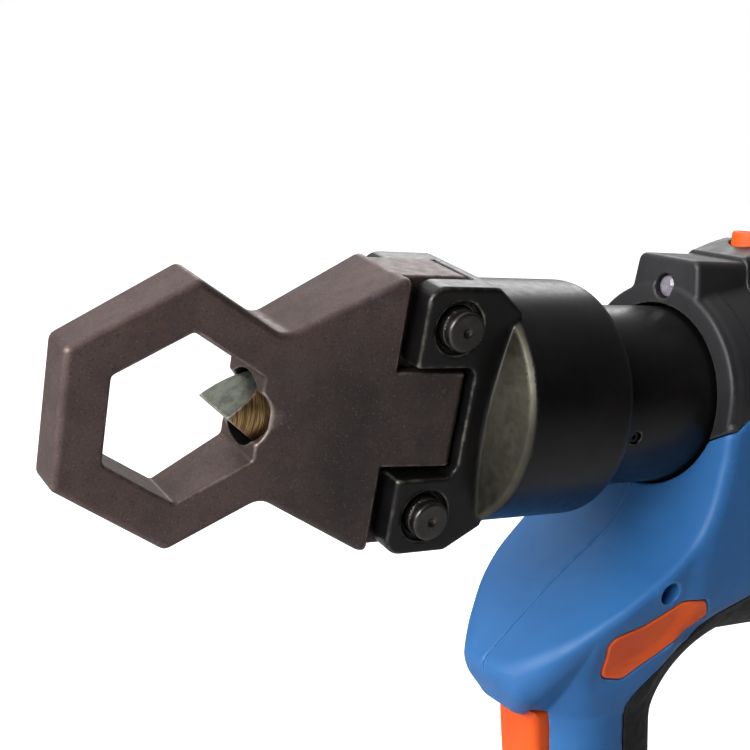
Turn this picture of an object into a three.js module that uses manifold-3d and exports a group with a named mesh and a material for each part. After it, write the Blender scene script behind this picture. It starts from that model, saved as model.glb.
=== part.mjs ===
// Battery hydraulic rescue cutter (nut splitter): a hexagonal ring head on a swivelling hydraulic cylinder,
// a pistol-grip housing with motor, planetary gearbox and pump, and a slide-on battery it stands on.
//
// Units are millimetres. Inside the tool group, X runs rearward along the ram axis (the nose points to -X),
// Y runs to the tool's right and Z is up. On the ram axis y = 0 and z = 0; the cylinder's front edge is x = 0.
// The tool group is then lifted so that the part's origin is the centre of the battery's flat base.
// The head, its cylinder and the ram are drawn upright and then turned a little about the ram axis, because
// the head swivels and this is how the tool is held at rest.

import * as THREE from 'three';
import { mergeVertices } from 'three/addons/utils/BufferGeometryUtils.js';
import Module from 'manifold-3d';

const wasm = await Module();
wasm.setup();

// ---------------------------------------------------------------- driving dimensions

const GAP = 0.3; // clearance between fixed neighbours

const HEAD_TURN = THREE.MathUtils.degToRad(8); // how far the head stands turned about the ram axis
const BASE = { x: 82, drop: 236 }; // centre of the battery base, and its distance below the ram axis

const HEX = { x: -78.7, outer: 32, inner: 20, innerX: -78.4 }; // ring centre and corner radii
const HEAD = {
  notch: { x: -57.5, z: 19.8 }, // waist between ring and shoulders
  shoulder: { x: -30.2, z: 34.3 },
  rear: -9.6,
  bore: 9.5,
  tang: 8.2, // half thickness between the ears
  pocketFront: -28.5,
  pocketZ: 12,
};
const YOKE = { front: -25.6, web: -8.9, back: -3.4, half: 16.5, slot: 8.7, ear: 14, top: 33.9 };
const PIN = { x: -15.9, z: 23.9, radius: 5, end: 19.9 };
const CYLINDER = { radius: 31, length: 32.7, wall: 6 };
const NECK = { radius: 24.4, end: 84, bore: 18.5 };
const RAM = { radius: 8, tip: -68.5, joint: -22.3, bevel: 10.5, head: 18.2, front: 34, back: 52 };

const PUMP = { front: 85, back: 118, half: 22, arm: 133, plungerX: 125 };
const ECCENTRIC = { radius: 8, offset: 1.5, front: 121, back: 129 };
const GEAR = { module: 1, sun: 12, planet: 12, ring: 36, front: 138, back: 148 };
const MOTOR = { front: 152, back: 205, radius: 22 };

const WALL = 3; // moulded wall thickness
const BODY = {
  front: 66.5,
  half: 32.3,
  top: 44,
  keel: -72.5,
  crown: 26, // height of the arch over the flanks
  belly: 30, // height of the rounding under them
  rear: 218,
  capFront: 200,
};
const GRIP = { half: 17.5, front: 33, back: 77, top: -90, bottom: -182, lean: 12 };
const FOOT = { front: 26, back: 142, half: 38, top: -177, bottom: -192 };
const TRIGGER = { front: 30, back: 44.5, half: 8.5, top: -90.6, bottom: -127, spring: -109 };
const BATTERY = { front: 24, back: 140, half: 38.5, top: -192.6, split: -212, wall: 2.8 };
const CELL = { radius: 10.6, half: 35, count: 5, pitch: 21.7, z: -221.8 };
const BUTTON = { x: 98, radius: 6, top: 46.5, flange: 35.5 };
// The pair of rails that the battery hangs from.
const RAIL = { front: 46, back: 130, web: 20, webOut: 23, lip: 26, lipTop: -197, lipBottom: -199.4 };
const CROSS_PIN = { x: -17, radius: 1.4 }; // holds the blade in the ram
const SWIVEL = { front: 74.5, back: 78.5 }; // groove round the neck
const SET_SCREW = { x: 40, z: -3, radius: 1.4 };
const LED = { x: 66.4, z: 30.2, radius: 3 };

// ---------------------------------------------------------------- materials

const FINISH = {
  forged: { color: 0x4a3c39, roughness: 0.55, metalness: 0.7 },
  blackOxide: { color: 0x1d1b1b, roughness: 0.3, metalness: 0.8 },
  groundSteel: { color: 0x8e8a7a, roughness: 0.3, metalness: 1.0 },
  steel: { color: 0x9a9ca0, roughness: 0.35, metalness: 1.0 },
  brass: { color: 0xb08d4a, roughness: 0.35, metalness: 1.0 },
  aluminium: { color: 0xb4b8bc, roughness: 0.45, metalness: 0.9 },
  blue: { color: 0x2f5f9e, roughness: 0.45, metalness: 0.0 },
  black: { color: 0x202124, roughness: 0.6, metalness: 0.0 },
  rubber: { color: 0x1a1a1b, roughness: 0.85, metalness: 0.0 },
  orange: { color: 0xf0692a, roughness: 0.4, metalness: 0.0 },
  lens: { color: 0xd8e4f0, roughness: 0.1, metalness: 0.0 },
  board: { color: 0x1f5a38, roughness: 0.6, metalness: 0.0 },
  cell: { color: 0x3f8a6a, roughness: 0.4, metalness: 0.0 },
};

// ---------------------------------------------------------------- solid helpers

function solid(geometry) {
  const bare = geometry.clone();
  bare.deleteAttribute('normal');
  bare.deleteAttribute('uv');
  const merged = mergeVertices(bare, 1e-3);
  const all = merged.index.array;
  const kept = [];
  for (let i = 0; i < all.length; i += 3) {
    const [a, b, c] = [all[i], all[i + 1], all[i + 2]];
    if (a !== b && b !== c && a !== c) kept.push(a, b, c);
  }
  const build = (triVerts) =>
    new wasm.Manifold(
      new wasm.Mesh({ numProp: 3, vertProperties: merged.attributes.position.array, triVerts }),
    );
  const made = build(new Uint32Array(kept));
  return made.volume() < 0 ? build(new Uint32Array(kept.reverse())) : made;
}

function geometryOf(body) {
  const mesh = body.getMesh();
  const geometry = new THREE.BufferGeometry();
  geometry.setAttribute('position', new THREE.BufferAttribute(new Float32Array(mesh.vertProperties), 3));
  geometry.setIndex(new THREE.BufferAttribute(new Uint32Array(mesh.triVerts), 1));
  geometry.computeVertexNormals();
  return geometry;
}

const join = (...bodies) => bodies.reduce((a, b) => a.add(b));
const cut = (body, ...tools) => tools.reduce((a, b) => a.subtract(b), body);
const common = (...bodies) => bodies.reduce((a, b) => a.intersect(b));

// The span from a to b on one side (+1 or -1) of a middle plane, lowest first.
const spanOn = (side, a, b) => (side < 0 ? [-b, -a] : [a, b]);

// Shape plane to world: a prism's outline is drawn in two axes and runs along the third.
const FRAMES = {
  x: new THREE.Matrix4().set(0, 0, 1, 0, 1, 0, 0, 0, 0, 1, 0, 0, 0, 0, 0, 1), // outline (y, z)
  y: new THREE.Matrix4().set(1, 0, 0, 0, 0, 0, -1, 0, 0, 1, 0, 0, 0, 0, 0, 1), // outline (x, z)
  z: new THREE.Matrix4(), // outline (x, y)
};

function shapeOf(outline) {
  if (outline instanceof THREE.Shape) return outline;
  return new THREE.Shape(outline.map(([a, b]) => new THREE.Vector2(a, b)));
}

function prism(axis, outline, from, to, curveSegments = 3) {
  const geometry = new THREE.ExtrudeGeometry(shapeOf(outline), {
    depth: to - from,
    bevelEnabled: false,
    curveSegments,
  });
  geometry.translate(0, 0, axis === 'y' ? -to : from);
  geometry.applyMatrix4(FRAMES[axis]);
  return solid(geometry);
}

function block(x0, x1, y0, y1, z0, z1) {
  const geometry = new THREE.BoxGeometry(x1 - x0, y1 - y0, z1 - z0);
  geometry.translate((x0 + x1) / 2, (y0 + y1) / 2, (z0 + z1) / 2);
  return solid(geometry);
}

// A body turned about the X axis from a profile of [x, radius] points.
function turned(profile, segments = 28) {
  const points = profile.map(([x, r]) => new THREE.Vector2(r, x));
  const geometry = new THREE.LatheGeometry(points, segments);
  geometry.rotateZ(-Math.PI / 2);
  return solid(geometry);
}

function ringX(x0, x1, inner, outer, segments = 28) {
  return turned([[x0, inner], [x0, outer], [x1, outer], [x1, inner], [x0, inner]], segments);
}

// A round bar along an axis, from one end to the other, with its centre line at (a, b) in the other two axes.
function bar(axis, radius, from, to, a = 0, b = 0, segments = 16) {
  const geometry = new THREE.CylinderGeometry(radius, radius, to - from, segments);
  const middle = (from + to) / 2;
  if (axis === 'x') geometry.rotateZ(-Math.PI / 2).translate(middle, a, b);
  if (axis === 'y') geometry.translate(a, middle, b);
  if (axis === 'z') geometry.rotateX(Math.PI / 2).translate(a, b, middle);
  return solid(geometry);
}

class Helix extends THREE.Curve {
  constructor(radius, length, turns) {
    super();
    Object.assign(this, { radius, length, turns });
  }

  getPoint(t, target = new THREE.Vector3()) {
    const angle = t * this.turns * 2 * Math.PI;
    return target.set(t * this.length, this.radius * Math.cos(angle), this.radius * Math.sin(angle));
  }
}

// A coil spring along +X, starting at x = 0.
function coil(radius, wire, length, turns) {
  const section = new THREE.Shape().absarc(0, 0, wire, 0, 2 * Math.PI);
  return new THREE.ExtrudeGeometry(section, {
    steps: turns * 8,
    curveSegments: 2,
    extrudePath: new Helix(radius, length - 2 * wire, turns),
  }).translate(wire, 0, 0);
}

// ---------------------------------------------------------------- outline helpers

// A closed outline whose corners are rounded: each point is [a, b, radius].
function rounded(points) {
  const shape = new THREE.Shape();
  const at = (i) => new THREE.Vector2(...points[(i + points.length) % points.length].slice(0, 2));
  points.forEach((point, i) => {
    const corner = at(i);
    const back = at(i - 1).sub(corner);
    const ahead = at(i + 1).sub(corner);
    const radius = point[2] ?? 0;
    if (radius === 0) {
      if (i === 0) shape.moveTo(corner.x, corner.y);
      else shape.lineTo(corner.x, corner.y);
      return;
    }
    const half = Math.acos(back.dot(ahead) / back.length() / ahead.length()) / 2;
    const reach = Math.min(radius / Math.tan(half), back.length() * 0.49, ahead.length() * 0.49);
    const start = corner.clone().addScaledVector(back.normalize(), reach);
    const end = corner.clone().addScaledVector(ahead.normalize(), reach);
    if (i === 0) shape.moveTo(start.x, start.y);
    else shape.lineTo(start.x, start.y);
    shape.quadraticCurveTo(corner.x, corner.y, end.x, end.y);
  });
  shape.closePath();
  return shape;
}

// The outline moved inwards by a distance, corner by corner. Outlines run anticlockwise.
function inset(points, distance) {
  return points.map((point, i) => {
    const here = new THREE.Vector2(...point);
    const before = new THREE.Vector2(...points[(i + points.length - 1) % points.length]);
    const after = new THREE.Vector2(...points[(i + 1) % points.length]);
    const a = here.clone().sub(before).normalize();
    const b = after.clone().sub(here).normalize();
    const normal = new THREE.Vector2(-a.y - b.y, a.x + b.x).normalize();
    const stretch = Math.min(2, 1 / Math.max(0.3, normal.dot(new THREE.Vector2(-a.y, a.x))));
    here.addScaledVector(normal, distance * stretch);
    return [here.x, here.y];
  });
}

const mirrorFirst = (points) => points.map(([a, b]) => [-a, b]).reverse();
const smooth = (points, count) =>
  new THREE.SplineCurve(points.map(([a, b]) => new THREE.Vector2(a, b)))
    .getPoints(count)
    .map((p) => [p.x, p.y]);

// ---------------------------------------------------------------- head

function hexagon(x, radius) {
  return Array.from({ length: 6 }, (_, i) => {
    const angle = Math.PI / 2 + (i * Math.PI) / 3;
    return [x + radius * Math.cos(angle), radius * Math.sin(angle), 1.5];
  });
}

function headOutline() {
  const ring = hexagon(HEX.x, HEX.outer).slice(0, 4); // top corner round the nose to the bottom corner
  return rounded([
    [HEAD.notch.x, HEAD.notch.z, 5],
    ...ring.map(([x, z]) => [x, z, 2]),
    [HEAD.notch.x, -HEAD.notch.z, 5],
    [HEAD.shoulder.x, -HEAD.shoulder.z, 3],
    [HEAD.rear, -HEAD.shoulder.z, 2],
    [HEAD.rear, HEAD.shoulder.z, 2],
    [HEAD.shoulder.x, HEAD.shoulder.z, 3],
  ]);
}

// Half thickness grows rearwards along this wedge, seen from above.
function headWedge() {
  const side = [[-107, 6.1], [HEX.x, 7.5], [-30, 12.4], [HEAD.rear, 14.4]];
  return [...side.map(([x, y]) => [x, -y]), ...[...side].reverse()];
}

function cutterHead() {
  const plate = prism('y', headOutline(), -20, 20);
  const ring = prism('y', rounded(hexagon(HEX.innerX, HEX.inner)), -20, 20);
  const wedge = prism('z', headWedge(), -40, 40);
  const bore = bar('x', HEAD.bore, HEX.x, 0, 0, 0, 32);
  const pockets = [];
  for (const up of [-1, 1]) {
    for (const side of [-1, 1]) {
      const across = spanOn(side, HEAD.tang, 30);
      pockets.push(block(HEAD.pocketFront, 5, ...across, ...spanOn(up, HEAD.pocketZ, 50)));
    }
    pockets.push(bar('y', PIN.radius + GAP, -20, 20, PIN.x, up * PIN.z));
  }
  return cut(common(plate, wedge), ring, bore, ...pockets);
}

function yokeBlock() {
  const side = rounded([
    [YOKE.front, -YOKE.top, 4],
    [-8, -YOKE.top, 0],
    [2, -28, 0],
    [2, 28, 0],
    [-6, YOKE.top, 0],
    [YOKE.front, YOKE.top, 4],
  ]);
  const body = prism('y', side, -YOKE.half, YOKE.half);
  const slot = block(-50, YOKE.web, -YOKE.slot, YOKE.slot, -40, 40);
  const mouth = prism('y', rounded([
    [-50, -YOKE.ear, 0],
    [YOKE.web, -YOKE.ear, 3],
    [YOKE.web, YOKE.ear, 3],
    [-50, YOKE.ear, 0],
  ]), -20, 20);
  return cut(body, slot, mouth);
}

function cylinderBody() {
  const { radius, length } = CYLINDER;
  const barrel = turned([
    [YOKE.back, 0],
    [YOKE.back, YOKE.half],
    [-0.2, radius - 1],
    [0.8, radius],
    [length - 4, radius],
    [length - 1.2, radius - 1.2],
    [length, radius - 4],
    [length, NECK.radius],
    [NECK.end, NECK.radius],
    [NECK.end, 0],
  ], 36);
  const tools = [
    bar('x', NECK.bore, CYLINDER.wall, NECK.end + 1, 0, 0, 30),
    bar('x', 11.8, -20, CYLINDER.wall + 1, 0, 0, 22),
    ringX(SWIVEL.front, SWIVEL.back, 22, 30),
    bar('y', SET_SCREW.radius + GAP, -30, -21.4, SET_SCREW.x, SET_SCREW.z, 12),
  ];
  for (const up of [-1, 1]) {
    tools.push(bar('y', PIN.radius + GAP, -20, 20, PIN.x, up * PIN.z));
    tools.push(bar('y', 6.6, -20, -YOKE.half + 1.5, PIN.x, up * PIN.z));
    tools.push(bar('y', 6.6, YOKE.half - 1.5, 20, PIN.x, up * PIN.z));
  }
  return cut(join(barrel, yokeBlock()), ...tools);
}

function headPin(up) {
  const z = up * PIN.z;
  const pin = bar('y', PIN.radius, -PIN.end, PIN.end, PIN.x, z, 24);
  const groove = cut(bar('y', 6, 15.4, 16.6, PIN.x, z, 20), bar('y', 4.2, 15, 17, PIN.x, z, 20));
  return cut(pin, groove);
}

// An open retaining ring in the pin's groove, on the right-hand side.
function pinClip(up) {
  const z = up * PIN.z;
  const disc = bar('y', 6.2, 15.6, 16.4, PIN.x, z, 24);
  const hole = bar('y', 4.5, 15, 17, PIN.x, z, 20);
  const mouth = block(PIN.x - 10, PIN.x, 15, 17, z - 3.2, z + 3.2);
  return cut(disc, hole, mouth);
}

function glandBush() {
  const inner = RAM.radius + GAP;
  const flange = CYLINDER.wall + GAP;
  return turned([
    [-8.4, inner], [-8.4, 11.4], [flange, 11.4], [flange, 14], [8.6, 14], [8.6, inner], [-8.4, inner],
  ], 24);
}

function neckSetScrew() {
  const { x, z, radius } = SET_SCREW;
  const socket = bar('y', radius / 2, -24, -22.6, x, z, 6);
  return cut(bar('y', radius, -23.4, -21.8, x, z, 12), socket);
}

// ---------------------------------------------------------------- ram

const crossHole = () => bar('y', CROSS_PIN.radius + GAP, -12, 12, CROSS_PIN.x, 0, 12);

function blade() {
  const rod = turned([
    [RAM.tip, 0], [RAM.tip, RAM.radius], [RAM.joint, RAM.radius], [RAM.joint, 4.2], [-11.5, 4.2], [-11.5, 0],
  ], 32);
  const { tip, bevel, radius } = RAM;
  const wedge = (up) => {
    const side = up * (radius + 0.6);
    return prism('y', [[tip - 1, 0], [tip + bevel + 1, side], [tip - 1, side]], -12, 12);
  };
  return cut(rod, wedge(1), wedge(-1), crossHole());
}

function ramPiston() {
  const { joint, radius, head, front, back } = RAM;
  const body = turned([
    [joint + GAP, 0], [joint + GAP, radius], [front + 7, radius], [front + 7, 15.5], [front, 15.5],
    [front, head],
    [44, head], [44, 15.9], [48, 15.9], [48, head], [back, head], [back, 0],
  ], 24);
  const socket = bar('x', 4.5, joint - 1, -11, 0, 0, 20);
  return cut(body, socket, crossHole());
}

const pistonSeal = () => ringX(44.3, 47.7, 16.2, 18.35, 24);
const bladeRetainingPin = () => bar('y', CROSS_PIN.radius, -7.4, 7.4, CROSS_PIN.x, 0, 12);
const returnSpring = () => coil(12, 0.65, 31.5, 4).translate(9, 0, 0);

// ---------------------------------------------------------------- housing shape

// Side view (x, z) of the front of the housing, anticlockwise: neck face, shield, chin and grip root.
function sideOutline() {
  const shield = [
    [16.8, -74], [19.5, -70], [28, -62], [36.2, -54], [40.5, -50], [46.5, -46], [53.5, -40], [62.5, -30],
    [65.6, -20], [BODY.front, 0],
  ];
  const nose = [[16.3, -77], [17, -80.5], [20.8, -84.5], [26, -87.5], [30, GRIP.top]];
  const web = [[GRIP.back + 0.5, -94], [80, -89], [84, -84.5], [90, -79], [97, -75.2], [108, BODY.keel]];
  return [
    [BODY.front, 31],
    ...[...shield].reverse(),
    ...nose,
    [GRIP.front, GRIP.top - 0.4],
    [GRIP.front + 1, GRIP.top - 7],
    [GRIP.back, GRIP.top - 7],
    ...web,
    [110, BODY.top],
    [97, BODY.top],
    [91, 43],
    [84, 38.5],
    [72, 32.5],
  ];
}

// Plan view (x, y): the rounded nose under the cylinder.
function planOutline() {
  const half = [
    [16.4, 0], [17, 6], [19, 11.1], [23.6, 16.6], [28.1, 20.9], [32, 24.6], [36.2, 27.5], [40.5, 29.8],
    [47, 31.3], [56, BODY.half], [120, BODY.half],
  ];
  return [...half.slice(1).reverse().map(([x, y]) => [x, y]), ...half.map(([x, y]) => [x, -y])];
}

const QUARTER = [0, 22.5, 45, 67.5, 90].map(THREE.MathUtils.degToRad);
const crownArc = (half, top, drop) =>
  QUARTER.map((a) => [half * Math.cos(a), top - drop * (1 - Math.sin(a))]);
const bellyArc = (half, keel, rise) =>
  QUARTER.map((a) => [half * Math.sin(a), keel + rise * (1 - Math.cos(a))]);

// Front view (y, z): arched top, straight flanks drawn in to the grip.
function frontOutline() {
  const flank = [
    [GRIP.half, -110], [GRIP.half, -90], [18, -82], [19.5, -74], [23, -66], [26.5, -58], [29.5, -50],
    [31.5, -40], [BODY.half, -20],
  ];
  const right = [...flank, ...crownArc(BODY.half, BODY.top, BODY.crown)];
  return [...right, ...mirrorFirst(right.slice(0, -1))];
}

// A closed skin through rings of points, with flat ends. The rings are convex and all run the same way round.
function loft(rings) {
  const size = rings[0].length;
  const points = rings.flat();
  const index = [];
  for (let r = 0; r < rings.length - 1; r += 1) {
    for (let i = 0; i < size; i += 1) {
      const [a, b] = [r * size + i, r * size + ((i + 1) % size)];
      index.push(a, b, b + size, a, b + size, a + size);
    }
  }
  for (let i = 1; i < size - 1; i += 1) {
    const last = (rings.length - 1) * size;
    index.push(0, i + 1, i, last, last + i, last + i + 1);
  }
  const geometry = new THREE.BufferGeometry().setFromPoints(points);
  geometry.setIndex(index);
  return solid(geometry);
}

// The barrel over the grip that holds gearbox and motor. Its stations are [x, half width, keel, top].
function barrel(distance) {
  const d = distance;
  const stations = [
    [88 - Math.sign(d) * WALL, BODY.half, BODY.keel, 41.3],
    [101, BODY.half, BODY.keel, BODY.top],
    [135, BODY.half, BODY.keel, BODY.top],
    [150, BODY.half, -66, BODY.top],
    [180, 32, -42, 41],
    [200, 31.5, -35, 38],
    [212 - d / 2, 28, -30, 35],
    [BODY.rear - d, 22, -22, 28],
  ];
  return loft(stations.map(([x, half, keel, top]) => {
    const w = half - d;
    const rise = (BODY.belly * (top - keel)) / (BODY.top - BODY.keel);
    const right = [...bellyArc(w, keel + d, rise), ...crownArc(w, top - d, BODY.crown)];
    return [...right, ...mirrorFirst(right.slice(1, -1))].map(([y, z]) => new THREE.Vector3(x, y, z));
  }));
}

// The grip, a rounded post that leans rearwards as it goes down.
function gripPost(distance) {
  const ring = (z) => {
    const lean = (GRIP.lean * (GRIP.top - z)) / (GRIP.top - GRIP.bottom);
    const middle = (GRIP.front + GRIP.back) / 2 + lean;
    const depth = (GRIP.back - GRIP.front) / 2 - distance;
    const blunt = (v) => Math.sign(v) * Math.abs(v) ** 0.62;
    return Array.from({ length: 20 }, (_, i) => {
      const a = (i / 20) * 2 * Math.PI;
      const x = middle + depth * blunt(Math.cos(a));
      const y = (GRIP.half - distance) * blunt(Math.sin(a));
      return new THREE.Vector3(x, y, z);
    });
  };
  return loft([ring(GRIP.bottom - 3), ring(-80 - distance)]);
}

// The housing's outer surface above the foot, moved inwards by a distance.
function housingBlank(distance) {
  const d = distance;
  const slant = d * Math.SQRT1_2;
  const arch = [[0, 31], [BODY.front, 31], [72, 32.5], [84, 39], [91, 44], [98, 50]];
  const dome = turned([[0, 0], ...arch.map(([x, r]) => [x + slant, r - slant]), [130, 50], [130, 0]], 28);
  const front = common(
    prism('y', inset(sideOutline(), d), -40, 40),
    prism('z', inset(planOutline(), d), -190, 60),
    prism('x', inset(frontOutline(), d), 10, 230),
    join(dome, block(0, 130, -60, 60, -120, -2)),
  );
  return join(front, barrel(d), gripPost(d));
}

function footBlank(distance) {
  const d = distance;
  const top = FOOT.top - d;
  const side = [
    [FOOT.front + d, FOOT.bottom],
    [FOOT.back - d, FOOT.bottom],
    [FOOT.back - d - 1, top - 4],
    [FOOT.back - 14, top],
    [FOOT.front + 22, top],
    [FOOT.front + d + 2, top - 6],
  ];
  const half = [[FOOT.half - d, FOOT.bottom], [FOOT.half - d, top - 7], [FOOT.half - 10, top]];
  const front = [...half, ...mirrorFirst(half)];
  return common(prism('y', side, -60, 60), prism('x', front, 0, 200));
}

// Where each separate moulding takes its share of the wall.
function bezelRegion(grow) {
  const half = [[18, -12 - grow], [24.4, -7.6 - grow], [32, -3.6 - grow], [60, 11], [60, 60]];
  const flank = [
    [50, -20 - grow], [66.8, -12 - grow], [67.6, -3.6 - grow], [76, 3.6 - grow], [84 + grow, 10.5 - grow],
    [84 + grow, 60], [50, 60],
  ];
  return common(prism('x', [...half, ...mirrorFirst(half)], 50, 90), prism('y', flank, -60, 60));
}
function coverRegion(grow) {
  const [front, low] = [84.3 - grow, 14.8 - grow];
  return prism('y', [[front, low], [150, low], [170 + grow, 60], [front, 60]], -60, 60);
}
const gripRegion = (grow) =>
  prism('y', [
    [55.8 - grow, -94], [66 - grow, -172 - grow], [130, -172 - grow], [130, -90], [150 + grow, -90],
    [150 + grow, -50 + grow], [98, -50 + grow], [86, -51.5 + grow], [76 - grow, -56.5 + grow],
    [66 - grow, -69 + grow], [56.3 - grow, -79.9 + grow], [54.6 - grow, -84],
  ], -60, 60);
const INLAY = [
  [39.7, -60.3], [40.3, -66.2], [42.1, -72.8], [47.2, -75.2], [50.3, -72.8],
  [59, -64.7], [69.6, -55.8], [68.8, -52.8], [66.3, -51.1], [59.6, -50.9], [49.1, -56.2],
];
const inlayRegion = (grow) =>
  prism('y', rounded(inset(INLAY, -grow).map((p) => [...p, 3])), -60, 60);

const SCREWS = [[53.2, -47.4], [128, -43], [64, -160], [190, -28.5], [190, 30.5]];

function housingWall() {
  const cavity = join(housingBlank(WALL), footBlank(WALL));
  const bosses = SCREWS.map(([x, z]) => common(bar('y', 4.6, -40, 40, x, z, 16), housingBlank(0.5)));
  const hollow = cut(join(housingBlank(0), footBlank(0)), cavity);
  const shoeSeat = block(FOOT.front + 6, FOOT.back - 6, -27.3, 27.3, FOOT.bottom - 1, FOOT.bottom + 6);
  const slot = TRIGGER.half + 0.5;
  const triggerSlot = block(20, 54, -slot, slot, TRIGGER.bottom - 0.6, GRIP.top - 0.1);
  const neck = bar('x', NECK.radius + 0.8, 40, PUMP.front, 0, 0, 32);
  return cut(join(hollow, ...bosses), neck, shoeSeat, triggerSlot);
}

const wall = housingWall();
const skin = (depth) => cut(housingBlank(-2), housingBlank(depth));

function shell(side) {
  const half = side < 0 ? block(0, 230, -60, -0.15, -200, 60) : block(0, 230, 0.15, 60, -200, 60);
  const tools = [
    bezelRegion(GAP),
    coverRegion(GAP),
    block(BODY.capFront - GAP, 240, -60, 60, -60, 60),
    common(skin(1.9), gripRegion(GAP)),
    common(skin(1.7), inlayRegion(GAP)),
  ];
  SCREWS.forEach(([x, z]) => {
    tools.push(bar('y', 1.8, -45, 12, x, z, 12));
    tools.push(bar('y', 3.1, -45, -8, x, z, 16));
  });
  return cut(common(wall, half), ...tools);
}

function shellScrew(index) {
  const [x, z] = SCREWS[index];
  const head = bar('y', 2.8, -11, -8.3, x, z, 16);
  const shank = bar('y', 1.5, -8.5, 11, x, z, 12);
  return cut(join(head, shank), bar('y', 1.2, -12, -9.6, x, z, 6));
}

function ledBoss() {
  const outline = [[-13.8, 22, 0], [13.8, 22, 0], [11.5, 38.4, 2.5], [-11.5, 38.4, 2.5]];
  return prism('x', rounded(outline), BODY.front, 82);
}

// The flared opening that the neck runs into.
const throat = () => turned([[61, 0], [61, 28], [BODY.front, 28], [68.5, 25.4], [90, 25.4], [90, 0]], 32);

function frontBezel() {
  const ring = ringX(BODY.front - 0.6, 70, 24, 31, 32);
  const collar = common(ring, bezelRegion(0));
  const body = join(common(wall, bezelRegion(0)), collar, ledBoss());
  const lensSeat = bar('x', LED.radius + 0.4, 60, LED.x + 3.6, 0, LED.z, 16);
  const wireHole = bar('x', 1.2, 60, 90, 0, LED.z, 8);
  return cut(body, throat(), lensSeat, wireHole);
}

function ledLens() {
  const { x, z, radius } = LED;
  const profile = [[0, 0], [0, radius - 0.8], [1, radius], [3.2, radius], [3.2, 0]];
  return turned(profile, 16).translate([x, 0, z]);
}

function topCover() {
  return cut(common(wall, coverRegion(0)), bar('z', BUTTON.radius + 0.4, 30, 60, BUTTON.x, 0, 24));
}

function rearCap() {
  const slots = [-12, -4, 4, 12].map((z) => block(212, 230, -11, 11, z - 1.4, z + 1.4));
  return cut(common(wall, block(BODY.capFront, 240, -60, 60, -60, 60)), ...slots);
}

const gripOvermould = () => common(cut(housingBlank(0), housingBlank(1.6)), gripRegion(0));

function inlay(side) {
  const half = block(30, 100, ...spanOn(side, 1, 60), -100, -40);
  return common(cut(housingBlank(0), housingBlank(1.4)), inlayRegion(0), half);
}

// ---------------------------------------------------------------- pump, gearbox, motor

function pumpBody() {
  const { front, back, half, arm, plungerX } = PUMP;
  const side = [[front, half], [back, half], [back, -15.5], [arm, -15.5], [arm, -37], [front, -37]];
  const body = join(prism('y', side, -half, half), bar('x', 18.1, 60.5, front + 1, 0, 0, 28));
  return cut(
    body,
    bar('x', 5.4, 108, back + 1, 0, 0, 20),
    bar('z', 4.4, -34, -10, plungerX, 0, 20),
    bar('z', 6.6, -19.5, -10, plungerX, 0, 20), // room for the plunger's flange
    bar('x', 1.5, 60, 90, 0, 8, 8), // oil port
    bar('z', 4.3, half - 8, half + 1, BUTTON.x, 0, 20), // relief valve seat
    ringX(72.8, 75.2, 16.2, 19), // seal groove
  );
}

const reliefValve = () =>
  join(bar('z', 4, 14.5, 23, BUTTON.x, 0, 20), bar('z', 1.8, 22.5, 24.6, BUTTON.x, 0, 12));
const oilBladder = () =>
  prism('x', rounded([[-15, -61, 5], [15, -61, 5], [19, -42, 4], [-19, -42, 4]]), 90, 120);

function swivelRing() {
  return cut(ringX(74.9, 78.1, 22.4, 24.9), block(74, 79, -1.5, 1.5, 20, 30));
}

function pumpPlunger() {
  const top = -13.7;
  return join(bar('z', 4, -30, top, PUMP.plungerX, 0, 20), bar('z', 6, top - 1.6, top, PUMP.plungerX, 0, 20));
}

function eccentricShaft() {
  const { radius, offset, front, back } = ECCENTRIC;
  const disc = bar('x', radius, front, back, 0, offset, 28);
  return join(bar('x', 5, 109, 132.6, 0, 0, 24), disc);
}

const eccentricBearing = () =>
  ringX(ECCENTRIC.front + 0.5, ECCENTRIC.back - 0.5, ECCENTRIC.radius + GAP, 11.5, 32)
    .translate([0, 0, ECCENTRIC.offset]);

// Outline of a gear with straight-sided teeth. depthSign -1 makes an internal ring.
function gearOutline(teeth, turn, internal = false) {
  const pitch = (GEAR.module * teeth) / 2;
  const tip = pitch + (internal ? -1 : 1) * GEAR.module * 0.95;
  const root = pitch + (internal ? 1 : -1) * GEAR.module * 1.2;
  const step = (2 * Math.PI) / teeth;
  const quarter = step / 4;
  const backlash = 0.13 / pitch;
  const slope = (Math.tan((20 * Math.PI) / 180) * GEAR.module) / pitch;
  const outline = [];
  for (let i = 0; i < teeth; i += 1) {
    const middle = turn + i * step;
    const foot = quarter - backlash + slope * 1.2;
    const crown = quarter - backlash - slope * 0.95;
    for (const [r, a] of [[root, -foot], [tip, -crown], [tip, crown], [root, foot]]) {
      outline.push([r * Math.cos(middle + a), r * Math.sin(middle + a)]);
    }
  }
  return outline;
}

const centreDistance = ((GEAR.sun + GEAR.planet) * GEAR.module) / 2;
const planetAngle = (index) => (index * 2 * Math.PI) / 3;

function sunGear() {
  return cut(prism('x', gearOutline(GEAR.sun, 0), GEAR.front, GEAR.back), bar('x', 2.3, 130, 160, 0, 0, 16));
}

function planetGear(index) {
  const angle = planetAngle(index);
  const halfTooth = Math.PI / GEAR.planet;
  const gear = cut(
    prism('x', gearOutline(GEAR.planet, halfTooth), GEAR.front, GEAR.back),
    bar('x', 2.8, 130, 160, 0, 0, 16),
  );
  return gear.translate([0, centreDistance * Math.cos(angle), centreDistance * Math.sin(angle)]);
}

function ringGear() {
  const outer = bar('x', 24, GEAR.front, GEAR.back, 0, 0, 32);
  return cut(outer, prism('x', gearOutline(GEAR.ring, 0, true), 130, 160));
}

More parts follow.
